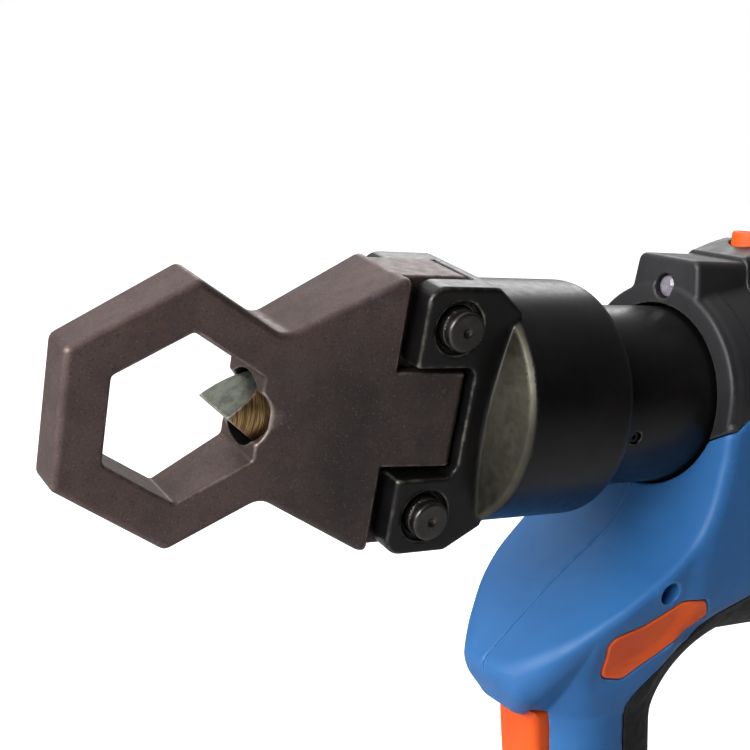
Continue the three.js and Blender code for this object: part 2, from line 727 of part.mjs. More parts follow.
function planetCarrier() {
  const plate = bar('x', 16, 133, 136.8, 0, 0, 32);
  const pins = [0, 1, 2].map((i) => {
    const angle = planetAngle(i);
    const [y, z] = [centreDistance * Math.cos(angle), centreDistance * Math.sin(angle)];
    return bar('x', 2.5, 134, GEAR.back + 0.6, y, z, 16);
  });
  return join(plate, ...pins);
}

function motorCan() {
  const { front, back, radius } = MOTOR;
  const can = turned([
    [front, 3.2],
    [front, radius - 1],
    [front + 1, radius],
    [back, radius],
    [back, radius - 2],
    [front + 2, radius - 2],
    [front + 2, 3.2],
    [front, 3.2],
  ], 24);
  const vents = [0, 1, 2, 3].map((i) => {
    const angle = Math.PI / 4 + (i * Math.PI) / 2;
    return bar('x', 3, front - 1, front + 3, 13 * Math.cos(angle), 13 * Math.sin(angle), 12);
  });
  return cut(can, ...vents);
}

function motorRotor() {
  const shaft = [[137.4, 0], [137.4, 2], [158, 2]];
  const windings = [[158, 12], [160, 17], [192, 17], [194, 12]];
  const commutator = [[194, 7], [203, 7], [203, 2.5], [208, 2.5], [208, 0]];
  return turned([...shaft, ...windings, ...commutator], 24);
}

// ---------------------------------------------------------------- controls

function trigger() {
  const { front, back, half, top, bottom } = TRIGGER;
  const finger = [[front, top], [front + 2.6, top - 12], [front + 4.6, top - 22], [front + 4.4, bottom + 3]];
  const face = smooth(finger, 6);
  const outline = [[back, top], ...face, [front + 6, bottom], [back + 3, bottom]];
  const body = prism('y', outline, -half, half);
  return cut(body, bar('x', 3.9, back - 2, back + 6, 0, TRIGGER.spring, 16));
}

const triggerSpring = () => coil(3, 0.5, 10.6, 4).translate(TRIGGER.back - 0.8, 0, TRIGGER.spring);
const triggerSwitch = () => join(block(55.5, 71, -8, 8, -121, -93), block(59, 69, -5, 5, -93.5, -88));

function releaseButton() {
  const { x, radius, top, flange } = BUTTON;
  const cap = bar('z', radius, flange, top, x, 0, 24);
  const stem = bar('z', 2.2, 28.2, flange + 1, x, 0, 12);
  return join(cap, bar('z', radius + 2, flange, flange + 2, x, 0, 20), stem);
}

// ---------------------------------------------------------------- battery

function batteryShoe() {
  const plate = block(FOOT.front + 6.4, FOOT.back - 6.4, -26.9, 26.9, -191.8, -188.6);
  const { front, back, web, webOut, lip, lipTop, lipBottom } = RAIL;
  const rail = (side) => join(
    block(front, back, ...spanOn(side, web, webOut), lipTop, -191),
    block(front, back, ...spanOn(side, web, lip), lipBottom, lipTop),
  );
  return join(plate, rail(1), rail(-1));
}

function batteryOutline(distance) {
  const [front, back, half] = [BATTERY.front + distance, BATTERY.back - distance, BATTERY.half - distance];
  const corner = 5 - distance;
  const corners = [[front, -half], [back, -half], [back, half], [front, half]];
  return rounded(corners.map((p) => [...p, corner]));
}

function batteryCaseTop() {
  const { top, split, wall: thick } = BATTERY;
  const outside = prism('z', batteryOutline(0), split, top);
  const body = cut(outside, prism('z', batteryOutline(thick), split - 1, -204.6));
  const { front, web, webOut, lip, lipTop, lipBottom } = RAIL;
  const run = [front - 6, BATTERY.back + 5]; // open at the rear, so that the battery slides off forwards
  const groove = (side) => join(
    block(...run, ...spanOn(side, web - 0.5, webOut + 0.5), lipTop - 0.6, -190),
    block(...run, ...spanOn(side, web - 0.5, lip + 0.6), lipBottom - 0.6, lipTop + 0.6),
  );
  const terminals = block(60, 118, -12.4, 12.4, -196, -190);
  const latchPocket = block(20, 34.4, -11.4, 11.4, -209, -190);
  return cut(body, groove(1), groove(-1), terminals, latchPocket);
}

function batteryCaseBottom() {
  const { split, wall: thick } = BATTERY;
  const outer = prism('z', batteryOutline(0), -BASE.drop, split - GAP);
  return cut(outer, prism('z', batteryOutline(thick), thick - BASE.drop, split + 1));
}

function batteryTerminals() {
  const base = block(60.4, 117.6, -12, 12, -195.7, -194.2);
  const blades = [-8, -3, 3, 8].map((y) => block(70, 100, y - 0.6, y + 0.6, -195, -192.8));
  return join(base, ...blades);
}

function batteryLatch() {
  return join(block(BATTERY.front + 0.4, 33.6, -11, 11, -204.4, -196.4), block(28, 33, -8, 8, -197, -193.4));
}

function batteryCell(index) {
  const x = BASE.x + (index - (CELL.count - 1) / 2) * CELL.pitch;
  const can = bar('y', CELL.radius, -CELL.half, CELL.half - 1, x, CELL.z);
  return join(can, bar('y', 4, CELL.half - 1.5, CELL.half, x, CELL.z, 12));
}

// ---------------------------------------------------------------- assembly

const tool = new THREE.Group();
const turnedHead = new THREE.Group();
tool.position.set(-BASE.x, 0, BASE.drop);
turnedHead.rotation.x = HEAD_TURN;
tool.add(turnedHead);

function place(name, finish, made, group = tool) {
  const geometry = made.isBufferGeometry ? made : geometryOf(made);
  const mesh = new THREE.Mesh(geometry, new THREE.MeshStandardMaterial(FINISH[finish]));
  mesh.name = name;
  group.add(mesh);
}

place('cutter_head', 'forged', cutterHead(), turnedHead);
place('cylinder_body', 'blackOxide', cylinderBody(), turnedHead);
place('head_pin_upper', 'blackOxide', headPin(1), turnedHead);
place('head_pin_lower', 'blackOxide', headPin(-1), turnedHead);
place('pin_clip_upper', 'steel', pinClip(1), turnedHead);
place('pin_clip_lower', 'steel', pinClip(-1), turnedHead);
place('gland_bush', 'brass', glandBush(), turnedHead);
place('neck_set_screw', 'blackOxide', neckSetScrew(), turnedHead);
place('return_spring', 'steel', returnSpring(), turnedHead);

place('blade', 'groundSteel', blade(), turnedHead);
place('ram_piston', 'steel', ramPiston(), turnedHead);
place('piston_seal', 'rubber', pistonSeal(), turnedHead);
place('blade_retaining_pin', 'steel', bladeRetainingPin(), turnedHead);

place('left_shell', 'blue', shell(-1));
place('right_shell', 'blue', shell(1));
place('front_bezel', 'black', frontBezel());
place('top_cover', 'black', topCover());
place('rear_cap', 'black', rearCap());
place('grip_overmould', 'rubber', gripOvermould());
place('inlay_left', 'orange', inlay(-1));
place('inlay_right', 'orange', inlay(1));
place('led_lens', 'lens', ledLens());
SCREWS.forEach((_, i) => place(`shell_screw_${i + 1}`, 'blackOxide', shellScrew(i)));

place('pump_body', 'aluminium', pumpBody());
place('relief_valve', 'brass', reliefValve());
place('oil_bladder', 'rubber', oilBladder());
place('swivel_ring', 'steel', swivelRing());
place('pump_plunger', 'steel', pumpPlunger());
place('eccentric_shaft', 'steel', eccentricShaft());
place('eccentric_bearing', 'steel', eccentricBearing());
place('planet_carrier', 'steel', planetCarrier());
[0, 1, 2].forEach((i) => place(`planet_gear_${i + 1}`, 'steel', planetGear(i)));
place('sun_gear', 'steel', sunGear());
place('ring_gear', 'steel', ringGear());
place('motor_can', 'aluminium', motorCan());
place('motor_rotor', 'steel', motorRotor());

place('trigger', 'orange', trigger());
place('trigger_spring', 'steel', triggerSpring());
place('trigger_switch', 'black', triggerSwitch());
place('release_button', 'orange', releaseButton());
place('control_board', 'board', block(64, 104, -24, 24, -187.9, -186.2));

place('battery_shoe', 'black', batteryShoe());
place('battery_case_top', 'black', batteryCaseTop());
place('battery_case_bottom', 'black', batteryCaseBottom());
place('battery_terminals', 'brass', batteryTerminals());
place('battery_latch', 'orange', batteryLatch());
for (let i = 0; i < CELL.count; i += 1) place(`cell_${i + 1}`, 'cell', batteryCell(i));

export default tool;
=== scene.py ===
"""Battery hydraulic nut splitter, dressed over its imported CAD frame.

The larger castings and mouldings are drawn as signed distance fields and turned into closed meshes, so that
every edge has a real radius. Lengths in the shape functions are millimetres in the ram-axis frame: X runs
rearward along the ram axis, Y to the tool's right and Z up, with x = 0 at the cylinder's front edge.
"""

import math

import bmesh
import bpy
import numpy as np
from mathutils import Matrix, Vector


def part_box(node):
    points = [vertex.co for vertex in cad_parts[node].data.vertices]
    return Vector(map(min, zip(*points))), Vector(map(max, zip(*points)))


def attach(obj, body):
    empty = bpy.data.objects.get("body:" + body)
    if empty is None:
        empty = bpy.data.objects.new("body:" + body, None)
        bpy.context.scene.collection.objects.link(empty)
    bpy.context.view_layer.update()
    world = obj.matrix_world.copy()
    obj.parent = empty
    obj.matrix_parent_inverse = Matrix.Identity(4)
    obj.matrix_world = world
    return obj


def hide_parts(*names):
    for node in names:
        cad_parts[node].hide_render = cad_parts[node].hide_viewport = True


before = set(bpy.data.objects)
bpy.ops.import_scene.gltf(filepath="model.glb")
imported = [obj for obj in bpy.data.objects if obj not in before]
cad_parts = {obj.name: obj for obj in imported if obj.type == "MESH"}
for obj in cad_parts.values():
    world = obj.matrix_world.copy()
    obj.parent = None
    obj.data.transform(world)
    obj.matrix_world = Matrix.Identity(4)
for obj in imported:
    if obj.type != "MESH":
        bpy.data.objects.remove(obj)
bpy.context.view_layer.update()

YOKE_FRONT = -25.6  # where the cylinder body's ears begin
HEAD_TURN = math.radians(8)  # how far the head stands turned about the ram axis at rest

# ------------------------------------------------------------------ datum

low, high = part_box("cylinder_body")
AXIS = np.array([low[0] * 1000 - YOKE_FRONT, (low[1] + high[1]) * 500, (low[2] + high[2]) * 500])


def to_row(points, turned=False):
    """Points in the ram-axis frame (mm) as points in the row frame (m)."""
    points = np.asarray(points, dtype=np.float64)
    if turned:
        c, s = math.cos(HEAD_TURN), math.sin(HEAD_TURN)
        x, y, z = points.T
        points = np.stack([x, y * c - z * s, y * s + z * c], axis=1)
    return (points + AXIS) / 1000


# ------------------------------------------------------------------ distance fields

def meet(first, *rest):
    for other in rest:
        first = np.maximum(first, other)
    return first


def unite(first, *rest):
    for other in rest:
        first = np.minimum(first, other)
    return first


def meet_round(a, b, r):
    """Both shapes, with their shared outer edge rounded to radius r."""
    return np.minimum(np.maximum(a, b), -r) + np.hypot(np.maximum(a + r, 0), np.maximum(b + r, 0))


def unite_round(a, b, r):
    """Either shape, with a fillet of radius r where they join."""
    return np.maximum(np.minimum(a, b), r) - np.hypot(np.maximum(r - a, 0), np.maximum(r - b, 0))


def carve(a, b, r=0.6):
    """Shape a without shape b, with the rim rounded."""
    return meet_round(a, -b, r)


def slab(v, low, high):
    return np.maximum(low - v, v - high)


def polygon(points):
    """Distance to a closed outline of straight sides, negative inside."""
    corners = np.asarray(points, dtype=np.float32)
    ends = np.roll(corners, -1, axis=0)

    def distance(u, v):
        best = None
        inside = None
        for (a, b), (c, d) in zip(corners, ends):
            ex, ey = c - a, d - b
            wx, wy = u - a, v - b
            t = np.clip((wx * ex + wy * ey) / (ex * ex + ey * ey), 0, 1)
            gap = (wx - ex * t) ** 2 + (wy - ey * t) ** 2
            best = gap if best is None else np.minimum(best, gap)
            if b != d:
                crosses = ((b > v) != (d > v)) & (wx < ex * (v - b) / (d - b))
                inside = crosses if inside is None else inside ^ crosses
        return np.where(inside, -1, 1) * np.sqrt(best)

    return distance


def outline(points, margin=14.0, step=0.25):
    """Distance to a closed outline of many sides, read from a table made once: much faster than polygon."""
    corners = np.asarray(points, np.float32)
    start = corners.min(axis=0) - margin
    count = np.ceil((corners.max(axis=0) + margin - start) / step).astype(int) + 1
    u = start[0] + step * np.arange(count[0], dtype=np.float32)
    v = start[1] + step * np.arange(count[1], dtype=np.float32)
    table = polygon(points)(u[:, None], v[None, :]).astype(np.float32).ravel()
    row = int(count[1])

    def distance(a, b):
        p, q = (a - start[0]) / step, (b - start[1]) / step
        pc, qc = np.clip(p, 0, count[0] - 1.01), np.clip(q, 0, count[1] - 1.01)
        i, j = pc.astype(np.int32), qc.astype(np.int32)
        s, t = pc - i, qc - j
        at = i * row + j
        near = table[at] * (1 - t) + table[at + 1] * t
        far = table[at + row] * (1 - t) + table[at + row + 1] * t
        return near * (1 - s) + far * s + step * np.hypot(p - pc, q - qc)

    return distance


def rounded(points, steps=7):
    """An outline of [a, b, radius] corners with each corner turned into an arc."""
    out = []
    count = len(points)
    for i, (a, b, r) in enumerate(points):
        here = np.array([a, b], float)
        before = np.array(points[i - 1][:2], float) - here
        after = np.array(points[(i + 1) % count][:2], float) - here
        lb, la = np.linalg.norm(before), np.linalg.norm(after)
        before, after = before / lb, after / la
        half = math.acos(max(-1, min(1, float(before @ after)))) / 2
        if r <= 0 or half > math.radians(89):
            out.append(here)
            continue
        back = min(r / math.tan(half), 0.49 * lb, 0.49 * la)
        r = back * math.tan(half)
        middle = here + (before + after) / np.linalg.norm(before + after) * (r / math.sin(half))
        start, stop = here + before * back - middle, here + after * back - middle
        a0, a1 = math.atan2(start[1], start[0]), math.atan2(stop[1], stop[0])
        turn = (a1 - a0 + math.pi) % (2 * math.pi) - math.pi
        for k in range(steps + 1):
            t = a0 + turn * k / steps
            out.append(middle + r * np.array([math.cos(t), math.sin(t)]))
    return out


def spline(points, count=6):
    """A smooth curve through points, with count steps between each pair."""
    p = np.asarray(points, float)
    p = np.vstack([2 * p[0] - p[1], p, 2 * p[-1] - p[-2]])
    out = []
    for i in range(1, len(p) - 2):
        for k in range(count):
            t = k / count
            out.append(0.5 * (2 * p[i] + (p[i + 1] - p[i - 1]) * t
                              + (2 * p[i - 1] - 5 * p[i] + 4 * p[i + 1] - p[i + 2]) * t * t
                              + (3 * p[i] - p[i - 1] - 3 * p[i + 1] + p[i + 2]) * t ** 3))
    out.append(p[-2])
    return [tuple(q) for q in out]


# ------------------------------------------------------------------ from a field to a closed mesh

TETRA = ((1, -1, -1), (-1, -1, 1), (-1, 1, -1), (1, 1, 1))


def gradient(shape, p, h=0.12):
    """The gradient of a field at points, the gradient's length, and the field's mean value around them."""
    total = np.zeros_like(p)
    value = np.zeros(len(p), p.dtype)
    for k in TETRA:
        f = shape(p[:, 0] + k[0] * h, p[:, 1] + k[1] * h, p[:, 2] + k[2] * h)
        value += f / 4
        for axis in range(3):
            total[:, axis] += k[axis] * f
    total /= 4 * h
    size = np.linalg.norm(total, axis=1)
    return total, np.maximum(size, 0.05), value


def edge_measure(shape, p, h=0.9):
    """How strongly the surface bends: positive on outer edges, negative in corners."""
    f = -6 * shape(p[:, 0], p[:, 1], p[:, 2])
    for axis in range(3):
        for sign in (-h, h):
            q = [p[:, 0], p[:, 1], p[:, 2]]
            q[axis] = q[axis] + sign
            f = f + shape(*q)
    return f / h


def contour(shape, lower, upper, step):
    """A closed quad mesh of the zero surface of shape within a box, with its sharp edges kept.

    Every grid cell that the surface passes through gets one point: the one nearest to all the tangent planes
    where the surface crosses the cell's edges.
    """
    axes = [np.arange(a, b + step, step, dtype=np.float32) for a, b in zip(lower, upper)]
    size = [len(a) for a in axes]
    origin = np.array([a[0] for a in axes], np.float32)
    field = shape(axes[0][:, None, None], axes[1][None, :, None], axes[2][None, None, :])
    field = np.ascontiguousarray(np.broadcast_to(field, size), dtype=np.float32)
    for face in (field[0], field[-1], field[:, 0], field[:, -1], field[:, :, 0], field[:, :, -1]):
        if face.min() < 0:
            print("touches its box:", lower, upper)
            face[...] = np.abs(face)
    inside = field < 0
    count = np.zeros([n - 1 for n in size], np.int8)
    for i in (0, 1):
        for j in (0, 1):
            for k in (0, 1):
                count += inside[i:size[0] - 1 + i, j:size[1] - 1 + j, k:size[2] - 1 + k]
    active = (count > 0) & (count < 8)
    where = np.argwhere(active)
    total = len(where)
    index = np.full(active.shape, -1, np.int32)
    index[active] = np.arange(total, dtype=np.int32)
    planes = np.zeros((total, 3, 3))
    pull = np.zeros((total, 3))
    middle = np.zeros((total, 3))
    crossings = np.zeros(total)
    quads = []
    for axis in range(3):
        u, v = (axis + 1) % 3, (axis + 2) % 3
        here = [slice(None)] * 3
        there = [slice(None)] * 3
        here[axis], there[axis] = slice(0, -1), slice(1, None)
        a, b = inside[tuple(here)], inside[tuple(there)]
        edges = np.argwhere(a != b)
        near, far = field[tuple(here)][tuple(edges.T)], field[tuple(there)][tuple(edges.T)]
        at = edges.astype(np.float32)
        at[:, axis] += near / (near - far)
        at = at * np.float32(step) + origin
        slope, size_of, value = gradient(shape, at)
        normal = slope / size_of[:, None]
        at = at - normal * np.clip(value / size_of, -0.3 * step, 0.3 * step)[:, None]
        reach = (normal * at).sum(axis=1)
        ring = []
        for du, dv in ((-1, -1), (0, -1), (0, 0), (-1, 0)):
            cell = edges.copy()
            cell[:, u] += du
            cell[:, v] += dv
            cell = index[tuple(cell.T)]
            ring.append(cell)
            crossings += np.bincount(cell, minlength=total)
            for m in range(3):
                middle[:, m] += np.bincount(cell, at[:, m], total)
                pull[:, m] += np.bincount(cell, normal[:, m] * reach, total)
                for n in range(m, 3):
                    planes[:, m, n] += np.bincount(cell, normal[:, m] * normal[:, n], total)
        ring = np.stack(ring, axis=1)
        outward = a[tuple(edges.T)]
        ring[~outward] = ring[~outward][:, ::-1]
        quads.append(ring)
    middle /= crossings[:, None]
    for m, n in ((1, 0), (2, 0), (2, 1)):
        planes[:, m, n] = planes[:, n, m]
    rest = pull - np.einsum("nij,nj->ni", planes, middle)
    stiff = planes + np.eye(3) * 0.06
    points = middle + np.linalg.solve(stiff, rest[:, :, None])[:, :, 0]
    lowest = where * step + origin - 0.1 * step
    points = np.clip(points, lowest, lowest + 1.2 * step)
    return points, np.concatenate(quads)


def settle(shape, points, step):
    """Moves points the last little way onto the zero surface. Returns them with the surface normals."""
    slope, size, value = gradient(shape, points)
    points = points - slope / size[:, None] * np.clip(value / size, -0.15 * step, 0.15 * step)[:, None]
    slope, size, _ = gradient(shape, points)
    return points, slope / size[:, None]


def corner_normals(points, faces, normals, limit=0.80):
    """A normal for each face corner: the surface's, or the face's own beside a sharp edge."""
    p = points[faces]
    flat = np.cross(p[:, 2] - p[:, 0], p[:, 3] - p[:, 1])
    flat /= np.maximum(np.linalg.norm(flat, axis=1), 1e-9)[:, None]
    smooth = normals[faces]
    agree = np.einsum("fcj,fj->fc", smooth, flat) > limit
    return np.where(agree[:, :, None], smooth, flat[:, None, :]).reshape(-1, 3)


# ------------------------------------------------------------------ mesh objects

def mesh_object(name, points, faces, normals=None, layers=None):
    mesh = bpy.data.meshes.new(name)
    width = faces.shape[1]
    mesh.vertices.add(len(points))
    mesh.vertices.foreach_set("co", np.ascontiguousarray(points, np.float32).ravel())
    mesh.loops.add(faces.size)
    mesh.loops.foreach_set("vertex_index", np.ascontiguousarray(faces, np.int32).ravel())
    mesh.polygons.add(len(faces))
    mesh.polygons.foreach_set("loop_start", np.arange(0, faces.size, width, dtype=np.int32))
    mesh.polygons.foreach_set("use_smooth", np.ones(len(faces), dtype=bool))
    mesh.update(calc_edges=True)
    for title, values in (layers or {}).items():
        layer = mesh.attributes.new(title, "FLOAT", "POINT")
        layer.data.foreach_set("value", np.ascontiguousarray(values, np.float32))
    if normals is not None:
        mesh.normals_split_custom_set(normals.tolist())
    obj = bpy.data.objects.new(name, mesh)
    bpy.context.scene.collection.objects.link(obj)
    return obj


def turn_vectors(vectors):
    c, s = math.cos(HEAD_TURN), math.sin(HEAD_TURN)
    x, y, z = vectors.T
    return np.stack([x, y * c - z * s, y * s + z * c], axis=1)


def carved(name, shape, lower, upper, step, material, body, nodes, turned=False, tint=None):
    """A piece made from a distance field, riding on a CAD body in place of its CAD nodes."""
    points, faces = contour(shape, lower, upper, step)
    points, normals = settle(shape, points, step)
    layers = {"edge": edge_measure(shape, points)}
    if tint:
        layers["tint"] = tint(*points.T)
    placed = to_row(points, turned)
    if turned:
        normals = turn_vectors(normals)
    obj = mesh_object(name, placed, faces, corner_normals(placed, faces, normals), layers)
    return finish_piece(obj, material, body, nodes)


def finish_piece(obj, material, body, nodes):
    obj.data.materials.append(material)
    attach(obj, body)
    if nodes:
        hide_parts(*nodes)
    return obj


# ------------------------------------------------------------------ materials

def linear(r, g, b):
    """An sRGB colour in 0..255 as linear values."""
    def one(v):
        v /= 255
        return v / 12.92 if v <= 0.04045 else ((v + 0.055) / 1.055) ** 2.4
    return (one(r), one(g), one(b), 1.0)


class Shade:
    """A node material built from short calls. Positions are the object's own, in metres."""

    def __init__(self, name):
        self.material = bpy.data.materials.new(name)
        self.material.use_nodes = True
        self.tree = self.material.node_tree
        self.tree.nodes.clear()
        self.out = self.tree.nodes.new("ShaderNodeOutputMaterial")
        self.bsdf = self.tree.nodes.new("ShaderNodeBsdfPrincipled")
        self.tree.links.new(self.bsdf.outputs[0], self.out.inputs[0])
        self.place = self.tree.nodes.new("ShaderNodeTexCoord").outputs["Object"]
        self.height = None

    def put(self, socket, value):
        if isinstance(value, bpy.types.NodeSocket):
            self.tree.links.new(value, socket)
        else:
            socket.default_value = value

    def set(self, **values):
        for name, value in values.items():
            self.put(self.bsdf.inputs[name.replace("_", " ")], value)
        return self

    def stretch(self, x=1, y=1, z=1):
        node = self.tree.nodes.new("ShaderNodeMapping")
        self.put(node.inputs["Vector"], self.place)
        node.inputs["Scale"].default_value = (x, y, z)
        return node.outputs[0]

    def noise(self, size_mm, detail=3, rough=0.55, vector=None, warp=0):
        node = self.tree.nodes.new("ShaderNodeTexNoise")
        self.put(node.inputs["Vector"], vector or self.place)
        node.inputs["Scale"].default_value = 1000 / size_mm
        node.inputs["Detail"].default_value = detail
        node.inputs["Roughness"].default_value = rough
        node.inputs["Distortion"].default_value = warp
        return node.outputs[0]

    def cells(self, size_mm):
        node = self.tree.nodes.new("ShaderNodeTexVoronoi")
        self.put(node.inputs["Vector"], self.place)
        node.inputs["Scale"].default_value = 1000 / size_mm
        return node.outputs[0]

    def attribute(self, name="edge"):
        node = self.tree.nodes.new("ShaderNodeAttribute")
        node.attribute_name = name
        return node.outputs["Fac"]

    def axis(self, name):
        node = self.tree.nodes.new("ShaderNodeSeparateXYZ")
        self.put(node.inputs[0], self.place)
        return node.outputs[name]

    def span(self, value, low, high, to_low=0.0, to_high=1.0):
        """value from low..high mapped smoothly to to_low..to_high."""
        node = self.tree.nodes.new("ShaderNodeMapRange")
        node.interpolation_type = "SMOOTHSTEP"
        self.put(node.inputs[0], value)
        for i, v in enumerate((low, high, to_low, to_high)):
            node.inputs[i + 1].default_value = v
        return node.outputs[0]

    def maths(self, kind, a, b=0.0):
        node = self.tree.nodes.new("ShaderNodeMath")
        node.operation = kind
        self.put(node.inputs[0], a)
        self.put(node.inputs[1], b)
        return node.outputs[0]

    def mix(self, amount, a, b):
        node = self.tree.nodes.new("ShaderNodeMix")
        node.data_type = "RGBA"
        self.put(node.inputs[0], amount)
        self.put(node.inputs[6], a)
        self.put(node.inputs[7], b)
        return node.outputs[2]

    def bump(self, height, depth_mm):
        """Adds relief of the given depth to the surface."""
        node = self.tree.nodes.new("ShaderNodeBump")
        node.inputs["Strength"].default_value = 1.0
        node.inputs["Distance"].default_value = depth_mm / 1000
        self.put(node.inputs["Height"], height)
        if self.height is not None:
            self.tree.links.new(self.height, node.inputs["Normal"])
        self.height = node.outputs[0]
        self.tree.links.new(self.height, self.bsdf.inputs["Normal"])
        return self

    def worn(self, low=0.25, high=0.8, patch_mm=2.5):
        """0..1 along outer edges, broken up by noise."""
        patches = self.span(self.noise(patch_mm, 5, 0.65), 0.25, 0.75, -0.5, 0.3)
        return self.span(self.maths("ADD", self.attribute(), patches), low, high)


def forged_material():
    """Brown forging scale, with painted shade towards the rear and the bottom of the head. The tint attribute
    marks the bore, which painted shade darkens.
    """
    s = Shade("forged_head")
    base = s.mix(s.span(s.noise(11, 4), 0.35, 0.65), linear(82, 68, 66), linear(94, 78, 75))
    # Painted shade: the head darkens toward the rear and the bottom, mottled by noise.
    rear_shade = s.maths("MULTIPLY", s.span(s.axis("X"), -0.152, -0.118), s.span(s.axis("Z"), 0.262, 0.240))
    rear_shade = s.maths("MULTIPLY", rear_shade, s.span(s.noise(14, 4), 0.3, 0.7, 0.5, 0.9))
    base = s.mix(rear_shade, base, linear(56, 51, 50))
    streaks = s.stretch(0.35, 1, 1)
    rust = s.span(s.noise(6, 5, 0.65, streaks), 0.58, 0.80, 0, 0.55)
    base = s.mix(rust, base, linear(112, 80, 62))
    base = s.mix(s.span(s.noise(9, 5, 0.6, streaks, 1.0), 0.60, 0.80, 0, 0.5), base, linear(84, 88, 100))
    speck = s.noise(0.5, 2, 0.7)
    base = s.mix(s.span(speck, 0.60, 0.74, 0, 0.7), base, linear(128, 112, 106))
    base = s.mix(s.span(speck, 0.42, 0.30, 0, 0.8), base, linear(50, 41, 41))
    worn = s.worn(0.5, 1.9, 4)
    base = s.mix(s.maths("MULTIPLY", worn, 0.75), base, linear(168, 154, 146))
    # Painted shade: the bore is darkened near-black where the hole lies in shadow.
    base = s.mix(s.attribute("tint"), base, linear(22, 20, 20))
    s.set(Base_Color=base, Metallic=0.6)
    s.set(Roughness=s.maths("ADD", s.span(s.noise(3, 4), 0.3, 0.7, 0.38, 0.52), s.span(worn, 0, 1, 0, -0.08)))
    return s.bump(s.noise(0.6, 3, 0.7), 0.022).bump(s.noise(4, 3), 0.03).material


def oxide_material():
    """Black oxide. The tint attribute marks faces machined bare after blackening."""
    s = Shade("black_oxide")
    base = s.mix(s.span(s.noise(14, 4), 0.35, 0.7), linear(24, 23, 24), linear(34, 31, 30))
    bare = s.attribute("tint")
    worn = s.maths("MULTIPLY", s.worn(0.6, 2.0, 3), 0.7)
    base = s.mix(worn, base, linear(150, 146, 132))
    ground = s.maths("MULTIPLY", bare, s.span(s.noise(5, 4), 0.3, 0.7, 0.75, 1.0))
    base = s.mix(ground, base, linear(84, 82, 71))
    rub = s.span(s.noise(3.5, 5, 0.7, s.stretch(1, 0.3, 0.3)), 0.66, 0.84, 0, 0.6)
    base = s.mix(rub, base, linear(66, 60, 56))
    s.set(Base_Color=base, Metallic=s.span(bare, 0, 1, 0.6, 0.95))
    satin = s.span(s.noise(2.2, 5), 0.3, 0.75, 0.30, 0.42)
    s.set(Roughness=s.maths("ADD", satin, s.span(bare, 0, 1, 0, 0.10)))
    s.set(Coat_Weight=s.span(bare, 0, 1, 0.12, 0), Coat_Roughness=0.22)
    return s.bump(s.noise(0.5, 2), 0.004).bump(s.noise(6, 3), 0.008).material


def steel_material(name, colour, rough, lines=None, dirt=0.25):
    """Machined steel. lines names the axis that the turning marks run across."""
    s = Shade(name)
    base = s.mix(s.span(s.noise(5, 4), 0.35, 0.7), colour, tuple(0.72 * c for c in colour[:3]) + (1,))
    base = s.mix(s.span(s.noise(1.4, 4, 0.7), 0.62, 0.8, 0, dirt), base, linear(60, 52, 46))
    s.set(Base_Color=base, Metallic=0.95)
    s.set(Roughness=s.span(s.noise(2, 4), 0.3, 0.7, rough - 0.07, rough + 0.09))
    if lines:
        scale = {"X": (1, 0.04, 0.04), "Y": (0.04, 1, 0.04), "Z": (0.04, 0.04, 1)}[lines]
        s.bump(s.noise(0.35, 3, 0.6, s.stretch(*scale)), 0.012)
    return s.bump(s.noise(0.8, 3), 0.008).material


def blade_material():
    """Tool steel. The tint attribute marks the straw-coloured turned round from the ground bevels."""
    s = Shade("blade_steel")
    turned = s.attribute("tint")
    bevel = s.mix(s.span(s.noise(3, 5, 0.7), 0.35, 0.7), linear(126, 130, 118), linear(96, 98, 90))
    rings = s.noise(0.32, 2, 0.6, s.stretch(1, 0.05, 0.05))
    straw = s.mix(s.span(rings, 0.40, 0.60), linear(118, 92, 60), linear(190, 158, 108))
    base = s.mix(turned, bevel, straw)
    base = s.mix(s.worn(0.8, 2.2, 2), base, linear(206, 202, 190))
    s.set(Base_Color=base, Metallic=0.9, Roughness=s.span(s.noise(1.2, 4), 0.3, 0.7, 0.30, 0.46))
    grind = s.noise(0.3, 3, 0.6, s.stretch(0.06, 1, 0.06))
    return s.bump(s.maths("MULTIPLY", rings, turned), 0.03).bump(grind, 0.006).material


def moulded_material(name, colour, shade, rough, grain_mm=0.45, grain_depth=0.03):
    """Moulded plastic with an etched texture, paler on rubbed edges."""
    s = Shade(name)
    base = s.mix(s.span(s.noise(22, 3), 0.35, 0.65), colour, shade)
    pale = tuple(min(1, 1.35 * c + 0.02) for c in colour[:3]) + (1,)
    base = s.mix(s.maths("MULTIPLY", s.worn(0.5, 1.3, 1.5), 0.35), base, pale)
    s.set(Base_Color=base, Specular_IOR_Level=0.4)
    s.set(Roughness=s.span(s.noise(6, 4), 0.3, 0.7, rough - 0.05, rough + 0.06))
    return s.bump(s.noise(grain_mm, 2, 0.6), grain_depth).material


def rubber_material(name="grip_rubber", grain_mm=0.9, depth=0.06):
    s = Shade(name)
    base = s.mix(s.span(s.noise(12, 4), 0.35, 0.7), linear(24, 24, 25), linear(34, 33, 33))
    base = s.mix(s.span(s.noise(1.8, 5, 0.75), 0.66, 0.8, 0, 0.5), base, linear(70, 68, 64))
    s.set(Base_Color=base, Roughness=s.span(s.noise(3, 3), 0.3, 0.7, 0.62, 0.8), Specular_IOR_Level=0.35)
    return s.bump(s.cells(grain_mm), depth).material


def lens_material():
    s = Shade("led_lens")
    s.set(Base_Color=linear(214, 206, 222), Roughness=s.span(s.noise(2), 0.3, 0.7, 0.05, 0.12))
    s.set(Transmission_Weight=0.75, IOR=1.49, Coat_Weight=0.6)
    return s.bump(s.cells(1.1), 0.02).material


